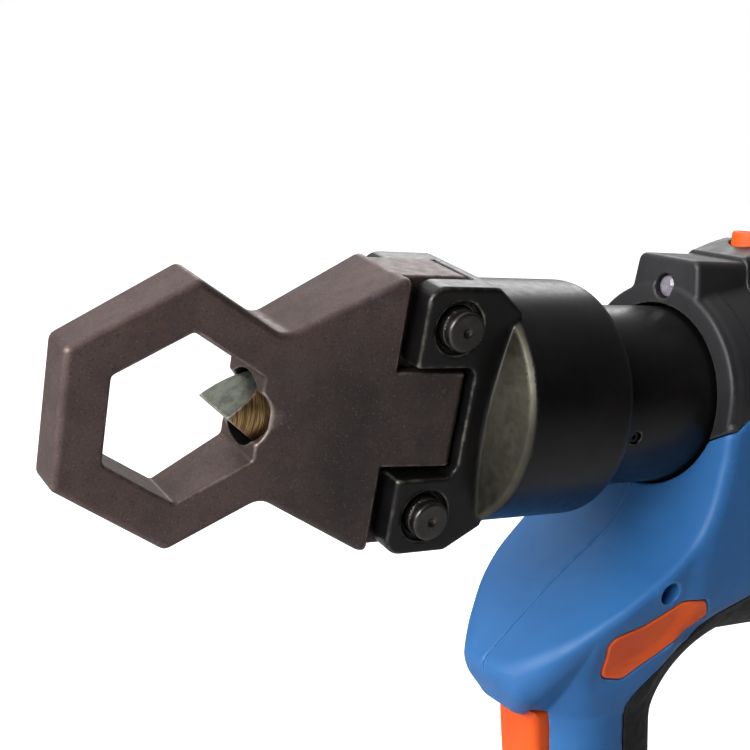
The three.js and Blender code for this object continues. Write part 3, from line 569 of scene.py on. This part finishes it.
def aluminium_material():
    s = Shade("cast_aluminium")
    base = s.mix(s.span(s.noise(6, 4), 0.35, 0.7), linear(178, 180, 182), linear(150, 152, 156))
    s.set(Base_Color=base, Metallic=0.9, Roughness=s.span(s.noise(1.2, 4), 0.3, 0.7, 0.36, 0.52))
    return s.bump(s.noise(0.6, 3, 0.7), 0.03).material


def board_material():
    s = Shade("circuit_board")
    tracks = s.maths("GREATER_THAN", s.maths("SINE", s.maths("MULTIPLY", s.axis("Y"), 4200)), 0.55)
    lands = s.maths("GREATER_THAN", s.cells(3.2), 0.30)
    base = s.mix(tracks, linear(16, 70, 42), linear(28, 96, 58))
    base = s.mix(s.maths("SUBTRACT", 1.0, lands), base, linear(176, 160, 110))
    s.set(Base_Color=base, Roughness=s.span(s.noise(3), 0.3, 0.7, 0.25, 0.38))
    return s.bump(tracks, 0.03).material


def cell_material():
    s = Shade("cell_sleeve")
    base = s.mix(s.span(s.noise(10, 3), 0.35, 0.7), linear(28, 110, 82), linear(22, 92, 70))
    end = s.span(s.maths("ABSOLUTE", s.axis("Y")), 0.0325, 0.0330)
    base = s.mix(end, base, linear(170, 172, 170))
    s.set(Base_Color=base, Metallic=end, Roughness=s.span(s.noise(2), 0.3, 0.7, 0.28, 0.4))
    return s.bump(s.noise(1.5, 3), 0.01).material


M = {
    "forged": forged_material(),
    "oxide": oxide_material(),
    "blade": blade_material(),
    "pin": steel_material("pin_steel", linear(84, 80, 78), 0.34, "Y", 0.7),
    "bright": steel_material("bright_steel", linear(176, 176, 172), 0.27),
    "gear": steel_material("gear_steel", linear(142, 140, 136), 0.33, None, 0.4),
    "bronze": steel_material("bearing_bronze", linear(196, 158, 92), 0.34, "X", 0.35),
    "aluminium": aluminium_material(),
    "blue": moulded_material("blue_nylon", linear(45, 105, 165), linear(42, 99, 158), 0.5),
    "black": moulded_material("black_nylon", linear(38, 37, 39), linear(33, 32, 34), 0.44),
    "orange": moulded_material("orange_plastic", linear(228, 88, 14), linear(218, 76, 10), 0.5, 0.35, 0.02),
    "rubber": rubber_material(),
    "seal": rubber_material("seal_rubber", 1.6, 0.02),
    "lens": lens_material(),
    "board": board_material(),
    "cell": cell_material(),
}


# ------------------------------------------------------------------ head and ram

def hexagon(x, radius, corner):
    return [[x + radius * math.cos(a), radius * math.sin(a), corner]
            for a in (math.pi / 2 + i * math.pi / 3 for i in range(6))]


RING = hexagon(-78.7, 32, 2.2)
HEAD_PLAN = outline(rounded([
    [-57.5, 19.8, 5], *RING[:4], [-57.5, -19.8, 5],
    [-30.2, -34.3, 4], [-9.6, -34.3, 2], [-9.6, 34.3, 2], [-30.2, 34.3, 4],
]))
HEX_HOLE = outline(rounded(hexagon(-78.4, 20, 1.2)))
BORE_MOUTH = outline(rounded([[-80, -6.9, 0], [-58.4, -6.9, 5.5], [-58.4, 6.9, 5.5], [-80, 6.9, 0]]))
PIN_X, PIN_Z = -15.9, 23.9
PIN_HOLE = 5.3  # radius
BORE, BLADE, BLADE_SHANK = 8.9, 8.0, 4.2  # radii
BLADE_TIP = -68.5


def round_hole(u, v, a, b, radius):
    return np.hypot(u - a, v - b) - radius


def cutter_head(x, y, z):
    side = np.abs(y)
    half = np.interp(x, [-107, -78.7, -30, -9.6], [6.1, 7.5, 12.4, 14.4]).astype(np.float32)
    body = meet_round(HEAD_PLAN(x, z), side - half, 1.8)
    body = carve(body, HEX_HOLE(x, z), 0.9)
    body = carve(body, meet(np.hypot(y, z) - BORE, -78 - x), 0.3)
    body = carve(body, meet(BORE_MOUTH(x, z), side - 20), 0.5)
    pocket = meet(8.2 - side, 12 - np.abs(z), -28.5 - x)
    body = carve(body, pocket, 0.6)
    return meet(body, -round_hole(x, np.abs(z), PIN_X, PIN_Z, PIN_HOLE))


BARREL = outline(rounded([
    [-3.4, -9, 0], [-3.4, 16.5, 0.6], [-0.4, 29.8, 0.7], [0.9, 31, 0.8], [32.7, 31, 4.2], [32.7, 24.4, 1.4],
    [84, 24.4, 0.6], [84, -9, 0],
]))
YOKE = outline(rounded([
    [-25.6, -33.9, 4.5], [-8, -33.9, 2], [2, -28, 0], [2, 28, 0], [-6, 33.9, 2], [-25.6, 33.9, 4.5],
]))


def cylinder_body(x, y, z):
    side, rise, r = np.abs(y), np.abs(z), np.hypot(y, z)
    yoke = meet_round(YOKE(x, z), side - 16.5, 1.1)
    yoke = carve(yoke, meet(side - 8.7, x + 8.9), 0.6)
    yoke = carve(yoke, meet_round(rise - 14, x + 8.9, 3), 0.8)
    body = unite_round(BARREL(x, r), yoke, 0.7)
    body = meet(body, -meet(r - 18.5, 6 - x), -meet(r - 11.8, -20 - x, x - 7))
    body = meet(body, -meet(22 - r, slab(x, 74.5, 78.5)))
    body = carve(body, round_hole(x, rise, PIN_X, PIN_Z, PIN_HOLE), 0.5)
    body = carve(body, meet(round_hole(x, rise, PIN_X, PIN_Z, 6.6), 15 - side), 0.5)
    return carve(body, meet(round_hole(x, z, 40, -3, 1.7), y + 21.4), 0.5)


def blade(x, y, z):
    r = np.hypot(y, z)
    rod = meet_round(slab(x, BLADE_TIP, -22.3), r - BLADE, 0.35)
    rod = unite(rod, meet_round(slab(x, -30, -11.5), r - BLADE_SHANK, 0.4))
    bevel = ((x - BLADE_TIP) * -8 + np.abs(z) * 10.5) / 13.2
    rod = meet_round(rod, bevel, 0.25)
    return meet(rod, -round_hole(x, z, -17, 0, 1.7))


def head_pin(sign):
    def shape(x, y, z):
        r = np.hypot(x - PIN_X, z - sign * PIN_Z)
        pin = meet_round(r - 5, np.abs(y) - 19.9, 0.9)
        for middle in (16.0, -17.5):
            groove = 4.2 if middle > 0 else 4.6
            pin = carve(pin, meet(groove - r, np.abs(y - middle) - 0.6), 0.12)
        dimple = np.sqrt((x - PIN_X) ** 2 + (y + 20.5) ** 2 + (z - sign * PIN_Z) ** 2) - 1.3
        return carve(pin, dimple, 0.2)
    return shape


def pin_clip(sign):
    def shape(x, y, z):
        r = np.hypot(x - PIN_X, z - sign * PIN_Z)
        ring = meet_round(meet_round(r - 6.2, 4.5 - r, 0.15), np.abs(y - 16) - 0.4, 0.15)
        return carve(ring, meet(np.abs(z - sign * PIN_Z) - 3.2, x - PIN_X), 0.3)
    return shape


def bore_shade_mask(x, y, z):
    """1 inside the blade's bore, where painted shade darkens it, 0 elsewhere."""
    return np.clip((BORE + 0.3 - np.hypot(y, z)) / 0.2, 0, 1) * np.clip(x + 76, 0, 1)


def turned_round(x, y, z):
    """1 on the blade's round, 0 on its bevels."""
    return np.clip((np.hypot(y, z) - BLADE + 0.3) / 0.2, 0, 1)


carved("cutter_head_casting", cutter_head, (-109, -17, -37), (-7, 17, 37), 0.45,
       M["forged"], "head", ["cutter_head"], turned=True, tint=bore_shade_mask)


def bare_shoulder(x, y, z):
    """1 on the shoulder behind the yoke, which was machined after blackening, 0 elsewhere."""
    r = np.hypot(y, z)
    across = np.clip((np.abs(y) - 16.8) / 0.5, 0, 1)
    along = (x > -3.6) & (x < 1.0)
    return across * along * np.clip((30.9 - r) / 0.5, 0, 1)


carved("cylinder_casting", cylinder_body, (-28, -33, -36), (86, 33, 36), 0.7,
       M["oxide"], "head", ["cylinder_body"], turned=True, tint=bare_shoulder)
carved("blade_chisel", blade, (-70, -10, -10), (-10, 10, 10), 0.4,
       M["blade"], "ram", ["blade"], turned=True, tint=turned_round)
for place, sign in (("upper", 1), ("lower", -1)):
    z0 = sign * PIN_Z
    carved(f"yoke_pin_{place}", head_pin(sign), (PIN_X - 7, -22, z0 - 7), (PIN_X + 7, 22, z0 + 7), 0.35,
           M["pin"], "head", [f"head_pin_{place}"], turned=True)
    carved(f"yoke_clip_{place}", pin_clip(sign), (PIN_X - 8, 14, z0 - 8), (PIN_X + 8, 18, z0 + 8), 0.25,
           M["bright"], "head", [f"pin_clip_{place}"], turned=True)

# ------------------------------------------------------------------ housing shape

TOP, KEEL, HALF = 44, -73.8, 32.3
GRIP_TOP, GRIP_BOTTOM, GRIP_HALF, GRIP_LEAN = -90, -182, 17.5, 12
GRIP_MIDDLE, GRIP_FRONT, GRIP_BACK = 49, 16, 26  # widest point, and how far the section reaches each way

shield = spline([[66.5, 14], [66.5, 0], [66.2, -12], [64.6, -24], [60.2, -33], [53.2, -40.4], [46.4, -46],
                 [40.2, -51], [34.4, -56], [28.2, -61.8], [22.2, -67.4]], 4)
chin = rounded([[16.8, -73, 0], [17.2, -75.5, 2], [23.8, -86.0, 5], [31, -89.3, 2]])
# The front block of the shells: from the side, from above and from the front.
SIDE = outline([
    (72, 32.5), (66.5, 31), *shield, *[tuple(p) for p in chin], (33, -89.3), (34, -97), (60, -97), (64, -60),
    (110, -40), (110, TOP), (66.5, TOP),
])
nose = spline([[16.2, 0], [17, 6], [19, 11.1], [23.6, 16.6], [28.1, 20.9], [32, 24.6], [36.2, 27.5],
               [40.5, 29.8], [47, 31.3], [56, HALF], [140, HALF]], 4)
PLAN = outline(nose + [(x, -y) for x, y in nose[:0:-1]])
flank = spline([[14.2, -110], [15.0, -92], [17.4, -83], [19.5, -74], [23, -66], [26.5, -58], [29.5, -50],
                [31.5, -40], [HALF, -20]], 3)
FRONT = outline([*flank, (HALF, 60), (-HALF, 60), *[(-y, z) for y, z in flank[::-1]]])
# The dome over the gearbox is this profile turned about the ram axis.
ARCH = polygon([
    (0, -20), (0, 31), (66.5, 31), (72, 32.2), (84, 34.2), (98, 36.4), (108, 39.5), (116, 46), (118, 60),
    (250, 60), (250, -20),
])
# The belly's keeled section.
vee = spline([[0, KEEL], [5, -71.4], [12, -67.2], [20, -61.6], [26, -54.5], [30, -44.5], [HALF, -28]], 4)
VEE = outline([*vee, (HALF, 20), (-HALF, 20), *[(-y, z) for y, z in vee[:0:-1]]], 30)
# How the chin narrows to its lower edge.
chin_flare = [
    (0, -91.5), (8.6, -90), (9.8, -85), (14, -79.5), (19, -73), (24, -66), (32, -56), (60, -50), (60, 60),
]
UNDERSIDE = outline(chin_flare + [(-y, z) for y, z in chin_flare[:0:-1]])


def oval(u, v, a, b, power=2.0):
    """Distance to a rounded section of half sizes a and b, true to first order at its edge."""
    p, q = np.abs(u) / a, np.abs(v) / b
    k = (p ** power + q ** power + 1e-9) ** (1 / power)
    slope = np.hypot((p / k) ** (power - 1) / a, (q / k) ** (power - 1) / b)
    return (k - 1) / slope


def barrel(x, y, z):
    """Motor and gearbox barrel, lofted along x: straight flanks, an arched top and a keeled belly."""
    stations = [60, 90, 101, 135, 150, 165, 180, 200, 209, 214, 218]
    half = np.interp(x, stations, [HALF, HALF, HALF, HALF, HALF, 32.2, 32, 31.5, 29.6, 26.6, 22])
    keel = np.interp(x, stations, [KEEL, KEEL, KEEL, KEEL, -66, -53, -42, -35, -32.6, -28, -22])
    top = np.interp(x, stations, [38, 42, TOP, TOP, TOP, 43, 41, 38, 36, 33, 28])
    v = np.where(z > top - 26, z - (top - 26), 0)
    crown = oval(y, v, half, 26.0)
    belly = VEE(y * (HALF / half), z * (KEEL / keel)) * (keel / KEEL)
    section = np.where(z > 0, crown, belly)
    face = np.interp(z, [-40, -25, -10, 60], [62, 65, 67.4, 67.4])  # stays behind the shield and the bezel
    return meet_round(section, np.maximum(face - x, x - 218), 3).astype(np.float32)


def grip(x, y, z):
    lean = np.maximum(GRIP_LEAN * (GRIP_TOP - z) / (GRIP_TOP - GRIP_BOTTOM), 0)
    swell = 1.5 * np.exp(-((z + 132) / 26) ** 2)
    u = x - GRIP_MIDDLE - lean
    back = oval(u, y, GRIP_BACK, GRIP_HALF + swell, 2.1)
    front = oval(u, y, GRIP_FRONT, GRIP_HALF + swell, 2.1)
    return meet(np.where(u > 0, back, front), slab(z, -190, -74)).astype(np.float32)


FOOT_SIDE = outline(rounded([[26, -200, 0], [142, -200, 0], [141, -181, 3], [128, -177, 6], [48, -177, 8],
                             [28, -183, 5]]))
FOOT_FRONT = outline(rounded([[38, -200, 0], [38, -184, 4], [28, -177, 5], [-28, -177, 5], [-38, -184, 4],
                              [-38, -200, 0]]))


def foot(x, y, z, inset=0.0):
    outline = meet_round(FOOT_SIDE(x, z) + inset, FOOT_FRONT(y, z) + inset, 3)
    corner = meet_round(slab(x, 26, 142) + inset, np.abs(y) - 38 + inset, 5)
    return meet(meet_round(outline, corner, 2), -192 - z)


def spine(x, y, z):
    """The raised block that runs back from the lamp into the top of the barrel."""
    top = np.interp(x, [66, 80, 86, 92, 97, 140], [38.4, 38.5, 40.2, 42.4, 43.8, TOP])
    side = np.abs(y) - 11.6 - np.clip(38.5 - z, 0, 20) * 0.19
    block = meet_round(meet_round(side, z - top, 2.4), slab(x, 84, 150), 1)
    return meet(block, 24 - z).astype(np.float32)


def housing(x, y, z):
    front = meet_round(SIDE(x, z), PLAN(x, y), 2.6)
    front = meet_round(front, FRONT(y, z), 3)
    front = meet_round(front, UNDERSIDE(y, z) - np.maximum(x - 34, 0), 4)
    body = unite_round(barrel(x, y, z), grip(x, y, z), 23)
    body = unite_round(front, body, np.clip((z + 89) * 0.5, 0.5, 5))
    crown = oval(y, np.where(z > TOP - 26, z - (TOP - 26), 0), HALF, 26.0)
    dome = meet_round(unite(ARCH(x, np.hypot(y, z)), meet(z + 2, slab(x, 0, 260))), crown, 1)
    return unite_round(meet_round(body, dome, 1.5), spine(x, y, z), 1.5)


WALL = 3.0
MOULDING_GAP = 0.3  # between a moulding and the shell around it
NECK_HOLE = 25.2  # radius
SCREW_BOSS = 4.6  # radius
SCREWS = [(53.2, -47.4), (128, -43), (64, -160), (190, -28.5), (190, 30.5)]
# Where each separate moulding takes its share of the wall.
bezel_edge = [(18, -12), (24.4, -7.6), (32, -3.6), (60, 11), (60, 60)]
BEZEL_FACE = polygon(bezel_edge + [(-y, z) for y, z in bezel_edge[::-1]])
BEZEL_FLANK = polygon([(50, -20), (66.8, -12), (67.6, -3.6), (76, 3.6), (84, 10.5), (84, 60), (50, 60)])
COVER_FLANK = polygon([(84.3, 14.8), (150, 14.8), (170, 60), (84.3, 60)])
GRIP_FLANK = outline(rounded([
    [55.8, -94, 4], [66, -172, 4], [130, -172, 0], [130, -90, 0], [150, -90, 0], [150, -50, 3], [98, -50, 6],
    [86, -51.5, 6], [76, -56.5, 6], [66, -69, 0], [56.3, -79.9, 3], [54.6, -84, 2],
]))
INLAY = outline(rounded([
    [38.2, -60.3, 3], [40.3, -66.2, 3], [42.1, -73.4, 3], [49.4, -74.6, 3], [59.4, -65.4, 0],
    [69.8, -55.4, 2.2], [66.6, -50.4, 2.4], [59.2, -50.4, 6], [48.8, -56.8, 0],
]))


def bezel_region(x, y, z):
    return meet(BEZEL_FACE(y, z), BEZEL_FLANK(x, z))


def outer_shell(x, y, z):
    """Both shells in one: the wall, its foot and the screw bosses."""
    body = housing(x, y, z)
    base = foot(x, y, z)
    extra = 2.4 * np.clip((50 - x) / 12, 0, 1) * np.clip((-68 - z) / 8, 0, 1)  # the chin is thicker inside
    cavity = unite(body + WALL + extra, foot(x, y, z, WALL))
    skin = unite_round(body, base, 4)
    hollow = carve(skin, cavity, 0.4)
    for a, b in SCREWS:
        boss = meet(round_hole(x, z, a, b, SCREW_BOSS), body + 0.6)
        hollow = unite(hollow, boss)
    neck = meet(np.hypot(y, z) - NECK_HOLE, slab(x, 40, 85))
    hollow = carve(hollow, neck, 0.8)
    hollow = carve(hollow, meet(slab(x, 32, 136), np.abs(y) - 27.3, z + 186), 0.4)
    finger_slot = meet(slab(x, 15, 54), slab(z, -127.6, -90.1))
    finger_slot = unite(finger_slot, meet(slab(x, 29, 54), slab(z, -92, -85.6)))
    return carve(hollow, meet(finger_slot, np.abs(y) - 9), 0.6)


def shell_half(side):
    def shape(x, y, z):
        body = housing(x, y, z)
        part = outer_shell(x, y, z)
        part = carve(part, bezel_region(x, y, z) - MOULDING_GAP, 0.5)
        part = carve(part, COVER_FLANK(x, z) - MOULDING_GAP, 0.5)
        part = carve(part, 199.7 - x, 0.5)
        part = carve(part, meet(GRIP_FLANK(x, z) - MOULDING_GAP, -1.9 - body), 0.5)
        part = carve(part, meet(INLAY(x, z) - MOULDING_GAP, -1.7 - body), 0.5)
        for a, b in SCREWS:
            r = np.hypot(x - a, z - b)
            part = meet(part, -meet(r - 1.8, y - 12), -meet(r - 3.1, y + 8))
        return meet_round(part, 0.06 - side * y, 0.25)
    return shape


for name, side in (("left", -1), ("right", 1)):
    reach = sorted((0.0, side * 40.0))
    lower, upper = (13, reach[0] - 1.5, -194), (202, reach[1] + 1.5, 47)
    carved(f"{name}_shell_moulding", shell_half(side), lower, upper, 0.85,
           M["blue"], "housing", [f"{name}_shell"])


# The lamp's boss from the front, and the lip around the neck as a profile turned about the ram axis.
BOSS = outline(rounded([[-14.4, 19, 0], [14.4, 19, 0], [11.6, 38.5, 2.6], [-11.6, 38.5, 2.6]]))
LIP = outline(rounded([[67.0, 25.9, 0.7], [67.0, 31.3, 2.8], [73, 32.6, 0], [73, 25.4, 0], [68.0, 25.4, 0]]))
LED_X, LED_Z = 66.4, 30.2


def front_bezel(x, y, z):
    r = np.hypot(y, z)
    wall = housing(x, y, z)
    region = bezel_region(x, y, z)
    body = meet_round(carve(wall, wall + WALL, 0.3), region, 0.5)
    lip = meet_round(LIP(x, r), region, 0.5)
    body = unite_round(body, lip, 0.6)
    boss = meet_round(BOSS(y, z), slab(x, 65.9, 86), 1.4)
    boss = meet(boss, x - 84)
    body = unite_round(body, boss, 0.8)
    body = meet(body, -meet(r - 25.4, slab(x, 60, 92)))
    lens = np.hypot(y, z - LED_Z)
    body = carve(body, meet(lens - 3.4, x - 70), 0.5)
    return meet(body, -(lens - 1.2))


def top_cover(x, y, z):
    wall = housing(x, y, z)
    body = meet_round(carve(wall, wall + WALL, 0.3), COVER_FLANK(x, z), 0.6)
    return carve(body, round_hole(x, y, 98, 0, 6.4), 0.6)


def rear_cap(x, y, z):
    wall = housing(x, y, z)
    body = meet_round(carve(wall, wall + WALL, 0.3), 200 - x, 0.6)
    for slot in (-12, -4, 4, 12):
        body = carve(body, meet_round(np.abs(z - slot) - 1.4, np.abs(y) - 11, 1), 0.5)
    for side in (-1, 1):
        for slot in (-8, 0, 8):
            vent = meet_round(np.abs(z - slot) - 1.3, slab(x, 203.5, 211), 1)
            body = carve(body, meet(vent, 22 - side * y), 0.5)
    return body


def grip_overmould(x, y, z):
    wall = housing(x, y, z)
    return meet_round(meet_round(wall - 0.25, -(wall + 1.6), 0.5), GRIP_FLANK(x, z), 0.7)


def inlay(side):
    def shape(x, y, z):
        wall = housing(x, y, z)
        band = meet_round(meet_round(wall - 0.15, -(wall + 1.4), 0.4), INLAY(x, z), 0.6)
        return meet(band, 1 - side * y)
    return shape


carved("front_bezel_moulding", front_bezel, (62, -34, -14), (87, 34, 41), 0.55,
       M["black"], "housing", ["front_bezel"])
carved("top_cover_moulding", top_cover, (82, -35, 12), (166, 35, 47), 0.75,
       M["black"], "housing", ["top_cover"])
carved("rear_cap_moulding", rear_cap, (197, -35, -38), (221, 35, 41), 0.7,
       M["black"], "housing", ["rear_cap"])
carved("grip_rubber_sleeve", grip_overmould, (52, -35, -175), (153, 35, -47), 0.8,
       M["rubber"], "housing", ["grip_overmould"])
for name, side in (("left", -1), ("right", 1)):
    reach = sorted((side * 14.0, side * 33.0))
    carved(f"inlay_{name}_insert", inlay(side), (36, reach[0], -77), (73, reach[1], -48), 0.5,
           M["orange"], "housing", [f"inlay_{name}"])

# ------------------------------------------------------------------ controls

finger_curve = spline([[29.9, -86.4], [30.6, -92], [32.4, -102], [34.4, -112], [34.6, -122]], 5)
TRIGGER_SIDE = outline(rounded([
    [44.5, -86.2, 1], *[[x, z, 0] for x, z in finger_curve],
    [36, -127, 3], [47.5, -127, 1],
]))


def trigger(x, y, z):
    body = meet_round(TRIGGER_SIDE(x, z), np.abs(y) - 8.5, 2.6)
    return carve(body, meet(round_hole(y, z, 0, -109, 3.9), 42.5 - x), 0.4)


def release_button(x, y, z):
    r = np.hypot(x - 98, y)
    cap = meet_round(r - 6, slab(z, 35.5, 46.5), 1.2)
    cap = unite(cap, meet_round(r - 8, slab(z, 35.5, 37.5), 0.4), meet(r - 2.2, slab(z, 28.2, 37)))
    dish = np.sqrt((x - 98) ** 2 + y ** 2 + (z - 62.4) ** 2) - 16.8
    return carve(cap, dish, 0.5)


def led_lens(x, y, z):
    r = np.hypot(y, z - LED_Z)
    dome = np.sqrt((x - LED_X - 5.0) ** 2 + y ** 2 + (z - LED_Z) ** 2) - 5.2
    return meet_round(meet_round(r - 3, slab(x, LED_X - 0.1, LED_X + 3.2), 0.3), dome, 0.3)


carved("trigger_blade", trigger, (28, -10, -129), (50, 10, -84), 0.5,
       M["orange"], "trigger", ["trigger"])
carved("release_button_cap", release_button, (88, -10, 26), (108, 10, 48), 0.4,
       M["orange"], "release", ["release_button"])
carved("led_lens_dome", led_lens, (64, -5, LED_Z - 5), (72, 5, LED_Z + 5), 0.25,
       M["lens"], "housing", ["led_lens"])


def shell_screw(a, b):
    def shape(x, y, z):
        r = np.hypot(x - a, z - b)
        turn = np.arctan2(z - b, x - a)
        star = r - (1.25 + 0.22 * np.cos(6 * turn))
        head = meet_round(r - 2.8, slab(y, -11, -8.3), 0.5)
        return carve(unite(head, meet_round(r - 1.5, slab(y, -9, 11), 0.3)), meet(star, y + 9.6), 0.12)
    return shape


for i, (a, b) in enumerate(SCREWS, 1):
    carved(f"shell_screw_{i}_head", shell_screw(a, b), (a - 4, -12, b - 4), (a + 4, 12, b + 4), 0.3,
           M["oxide"], "housing", [f"shell_screw_{i}"])

# ------------------------------------------------------------------ battery

FLOOR = -236


def battery_box(x, y, z, inset=0.0):
    return meet_round(slab(x, 24, 140) + inset, np.abs(y) - 38.5 + inset, 5 - inset)


def case_top(x, y, z):
    side = np.abs(y)
    body = meet_round(battery_box(x, y, z), slab(z, -212, -192.6), 1.2)
    behind_latch = unite(36.4 - x, z + 210.6)
    body = carve(body, meet(battery_box(x, y, z, 2.8), z + 204.6, behind_latch), 0.4)
    rail_mouth = meet(slab(side, 19.5, 23.5), -197.6 - z)
    groove = unite(rail_mouth, meet(slab(side, 19.5, 26.6), slab(z, -200, -196.4)))
    body = carve(body, meet(groove, 40 - x), 0.4)
    body = carve(body, meet(slab(x, 60, 118), side - 12.4, -196 - z), 0.4)
    return carve(body, meet(x - 34.4, side - 11.4, -209 - z), 0.5)


def case_bottom(x, y, z):
    body = meet_round(battery_box(x, y, z), slab(z, FLOOR, -212.3), 2.2)
    ribs = np.abs((x + 1.0) % 9.0 - 4.5) - 1.4
    flute = meet(np.maximum(ribs, slab(z, -230, -217)), 37.6 - np.abs(y), slab(x, 34, 130))
    body = carve(body, flute, 0.5)
    return carve(body, meet(battery_box(x, y, z, 2.8), -233.2 - z), 0.4)


def latch(x, y, z):
    side = np.abs(y)
    pad = meet_round(meet_round(slab(x, 24.4, 33.6), side - 11, 1), slab(z, -204.4, -196.4), 1)
    hook = meet_round(meet(slab(x, 28, 33), side - 8), slab(z, -199, -193.4), 0.5)
    grooves = np.abs((z + 0.7) % 2.4 - 1.2) - 0.45
    return carve(unite(pad, hook), meet(grooves, x - 25.1, side - 8.5, slab(z, -203.4, -197.4)), 0.25)


carved("battery_lid", case_top, (22, -40.5, -214), (142, 40.5, -190), 0.9,
       M["black"], "battery", ["battery_case_top"])
carved("battery_tub", case_bottom, (22, -40.5, -238), (142, 40.5, -210), 0.9,
       M["black"], "battery", ["battery_case_bottom"])
carved("battery_latch_pad", latch, (22, -13, -207), (36, 13, -191), 0.35,
       M["orange"], "latch", ["battery_latch"])

# ------------------------------------------------------------------ finishes on the CAD solids that stay

FINISH = {
    "bronze": ["gland_bush", "relief_valve", "battery_terminals"],
    "oxide": ["neck_set_screw"],
    "bright": ["return_spring", "trigger_spring", "ram_piston", "blade_retaining_pin", "swivel_ring"],
    "seal": ["piston_seal", "oil_bladder"],
    "aluminium": ["pump_body", "motor_can"],
    "gear": ["pump_plunger", "eccentric_shaft", "eccentric_bearing", "planet_carrier", "planet_gear_1",
             "planet_gear_2", "planet_gear_3", "sun_gear", "ring_gear", "motor_rotor"],
    "black": ["trigger_switch", "battery_shoe"],
    "board": ["control_board"],
    "cell": ["cell_1", "cell_2", "cell_3", "cell_4", "cell_5"],
}
for finish, names in FINISH.items():
    for name in names:
        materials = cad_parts[name].data.materials
        materials.clear()
        materials.append(M[finish])

# ------------------------------------------------------------------ floor, light and camera

def paper_material():
    """Pale paper, lifted a little where the camera sees it so that it runs into the white surround."""
    s = Shade("pale_paper")
    s.set(Base_Color=s.mix(s.span(s.noise(60, 2), 0.3, 0.7), (0.50, 0.50, 0.50, 1), (0.47, 0.47, 0.48, 1)))
    seen = s.tree.nodes.new("ShaderNodeLightPath").outputs["Is Camera Ray"]
    s.set(Emission_Color=(1, 1, 1, 1), Emission_Strength=s.maths("MULTIPLY", seen, 1.1), Roughness=0.7)
    return s.material


def pale_floor():
    shape = bmesh.new()
    rim = [shape.verts.new((12 * math.cos(a), 12 * math.sin(a), 0))
           for a in (math.tau * i / 64 for i in range(64))]
    shape.faces.new(rim)
    mesh = bpy.data.meshes.new("studio_floor")
    shape.to_mesh(mesh)
    shape.free()
    floor = bpy.data.objects.new("studio_floor", mesh)
    mesh.materials.append(paper_material())
    bpy.context.scene.collection.objects.link(floor)


EYE = Vector((-196.7, -269.617, 63.898))  # camera in the ram-axis frame, mm
VIEW = Vector((0.5273, 0.83114, -0.17644)).normalized()
RIGHT = Vector((0.8495, -0.51973, 0.09035))
UP = RIGHT.cross(VIEW).normalized()
pale_floor()

camera = bpy.data.objects.new("camera", bpy.data.cameras.new("camera"))
camera.data.lens = 64.07
camera.data.sensor_width = 36
camera.data.clip_start, camera.data.clip_end = 0.01, 50
side_way = VIEW.cross(UP)
camera.matrix_world = Matrix((
    (side_way[0], UP[0], -VIEW[0], 0), (side_way[1], UP[1], -VIEW[1], 0), (side_way[2], UP[2], -VIEW[2], 0),
    (0, 0, 0, 1)))
camera.location = to_row([EYE])[0]
bpy.context.scene.collection.objects.link(camera)
bpy.context.scene.camera = camera


def lamp(name, place, aim, size, power, colour=(1, 1, 1)):
    data = bpy.data.lights.new(name, "AREA")
    data.shape = "RECTANGLE"
    data.size, data.size_y = size
    data.energy = power
    data.color = colour
    obj = bpy.data.objects.new(name, data)
    obj.location = place
    obj.rotation_euler = (Vector(aim) - Vector(place)).to_track_quat("-Z", "Y").to_euler()
    bpy.context.scene.collection.objects.link(obj)


TARGET = (-0.08, 0, 0.22)
lamp("key", (-1.15, 0.02, 0.62), TARGET, (0.8, 0.8), 14)
lamp("nose", (-0.60, -0.30, 0.42), (-0.15, 0, 0.23), (0.3, 0.3), 2.8)
lamp("high", (-0.35, 0.45, 1.4), TARGET, (1.5, 1.5), 6)
lamp("rim", (0.5, 0.8, 0.9), TARGET, (0.6, 0.6), 4)


def surround():
    """White as the camera sees it. As the tool sees it, dimmer, and darkest to the tool's left and below."""
    world = bpy.data.worlds.new("studio")
    world.use_nodes = True
    nodes, links = world.node_tree.nodes, world.node_tree.links
    background = nodes["Background"]
    direction = nodes.new("ShaderNodeNewGeometry").outputs["Incoming"]
    parts = nodes.new("ShaderNodeSeparateXYZ")
    links.new(direction, parts.inputs[0])
    level = None
    # Incoming points back at the viewer, so looking up, to the left and to the front are -Z, +Y and +X here.
    ramps = {"Z": (0.4, -0.9, 0.10, 0.46), "Y": (-0.3, 0.8, 1.0, 0.08), "X": (-0.8, 0.8, 0.7, 1.3)}
    for part, numbers in ramps.items():
        ramp = nodes.new("ShaderNodeMapRange")
        links.new(parts.outputs[part], ramp.inputs[0])
        for i, v in enumerate(numbers):
            ramp.inputs[i + 1].default_value = v
        if level is None:
            level = ramp.outputs[0]
        else:
            both = nodes.new("ShaderNodeMath")
            both.operation = "MULTIPLY"
            links.new(level, both.inputs[0])
            links.new(ramp.outputs[0], both.inputs[1])
            level = both.outputs[0]
    choose = nodes.new("ShaderNodeMix")
    links.new(nodes.new("ShaderNodeLightPath").outputs["Is Camera Ray"], choose.inputs[0])
    links.new(level, choose.inputs[2])
    choose.inputs[3].default_value = 1.0
    background.inputs[0].default_value = (1, 1, 1, 1)
    links.new(choose.outputs[0], background.inputs[1])
    bpy.context.scene.world = world


surround()
bpy.context.scene.view_settings.view_transform = "Standard"
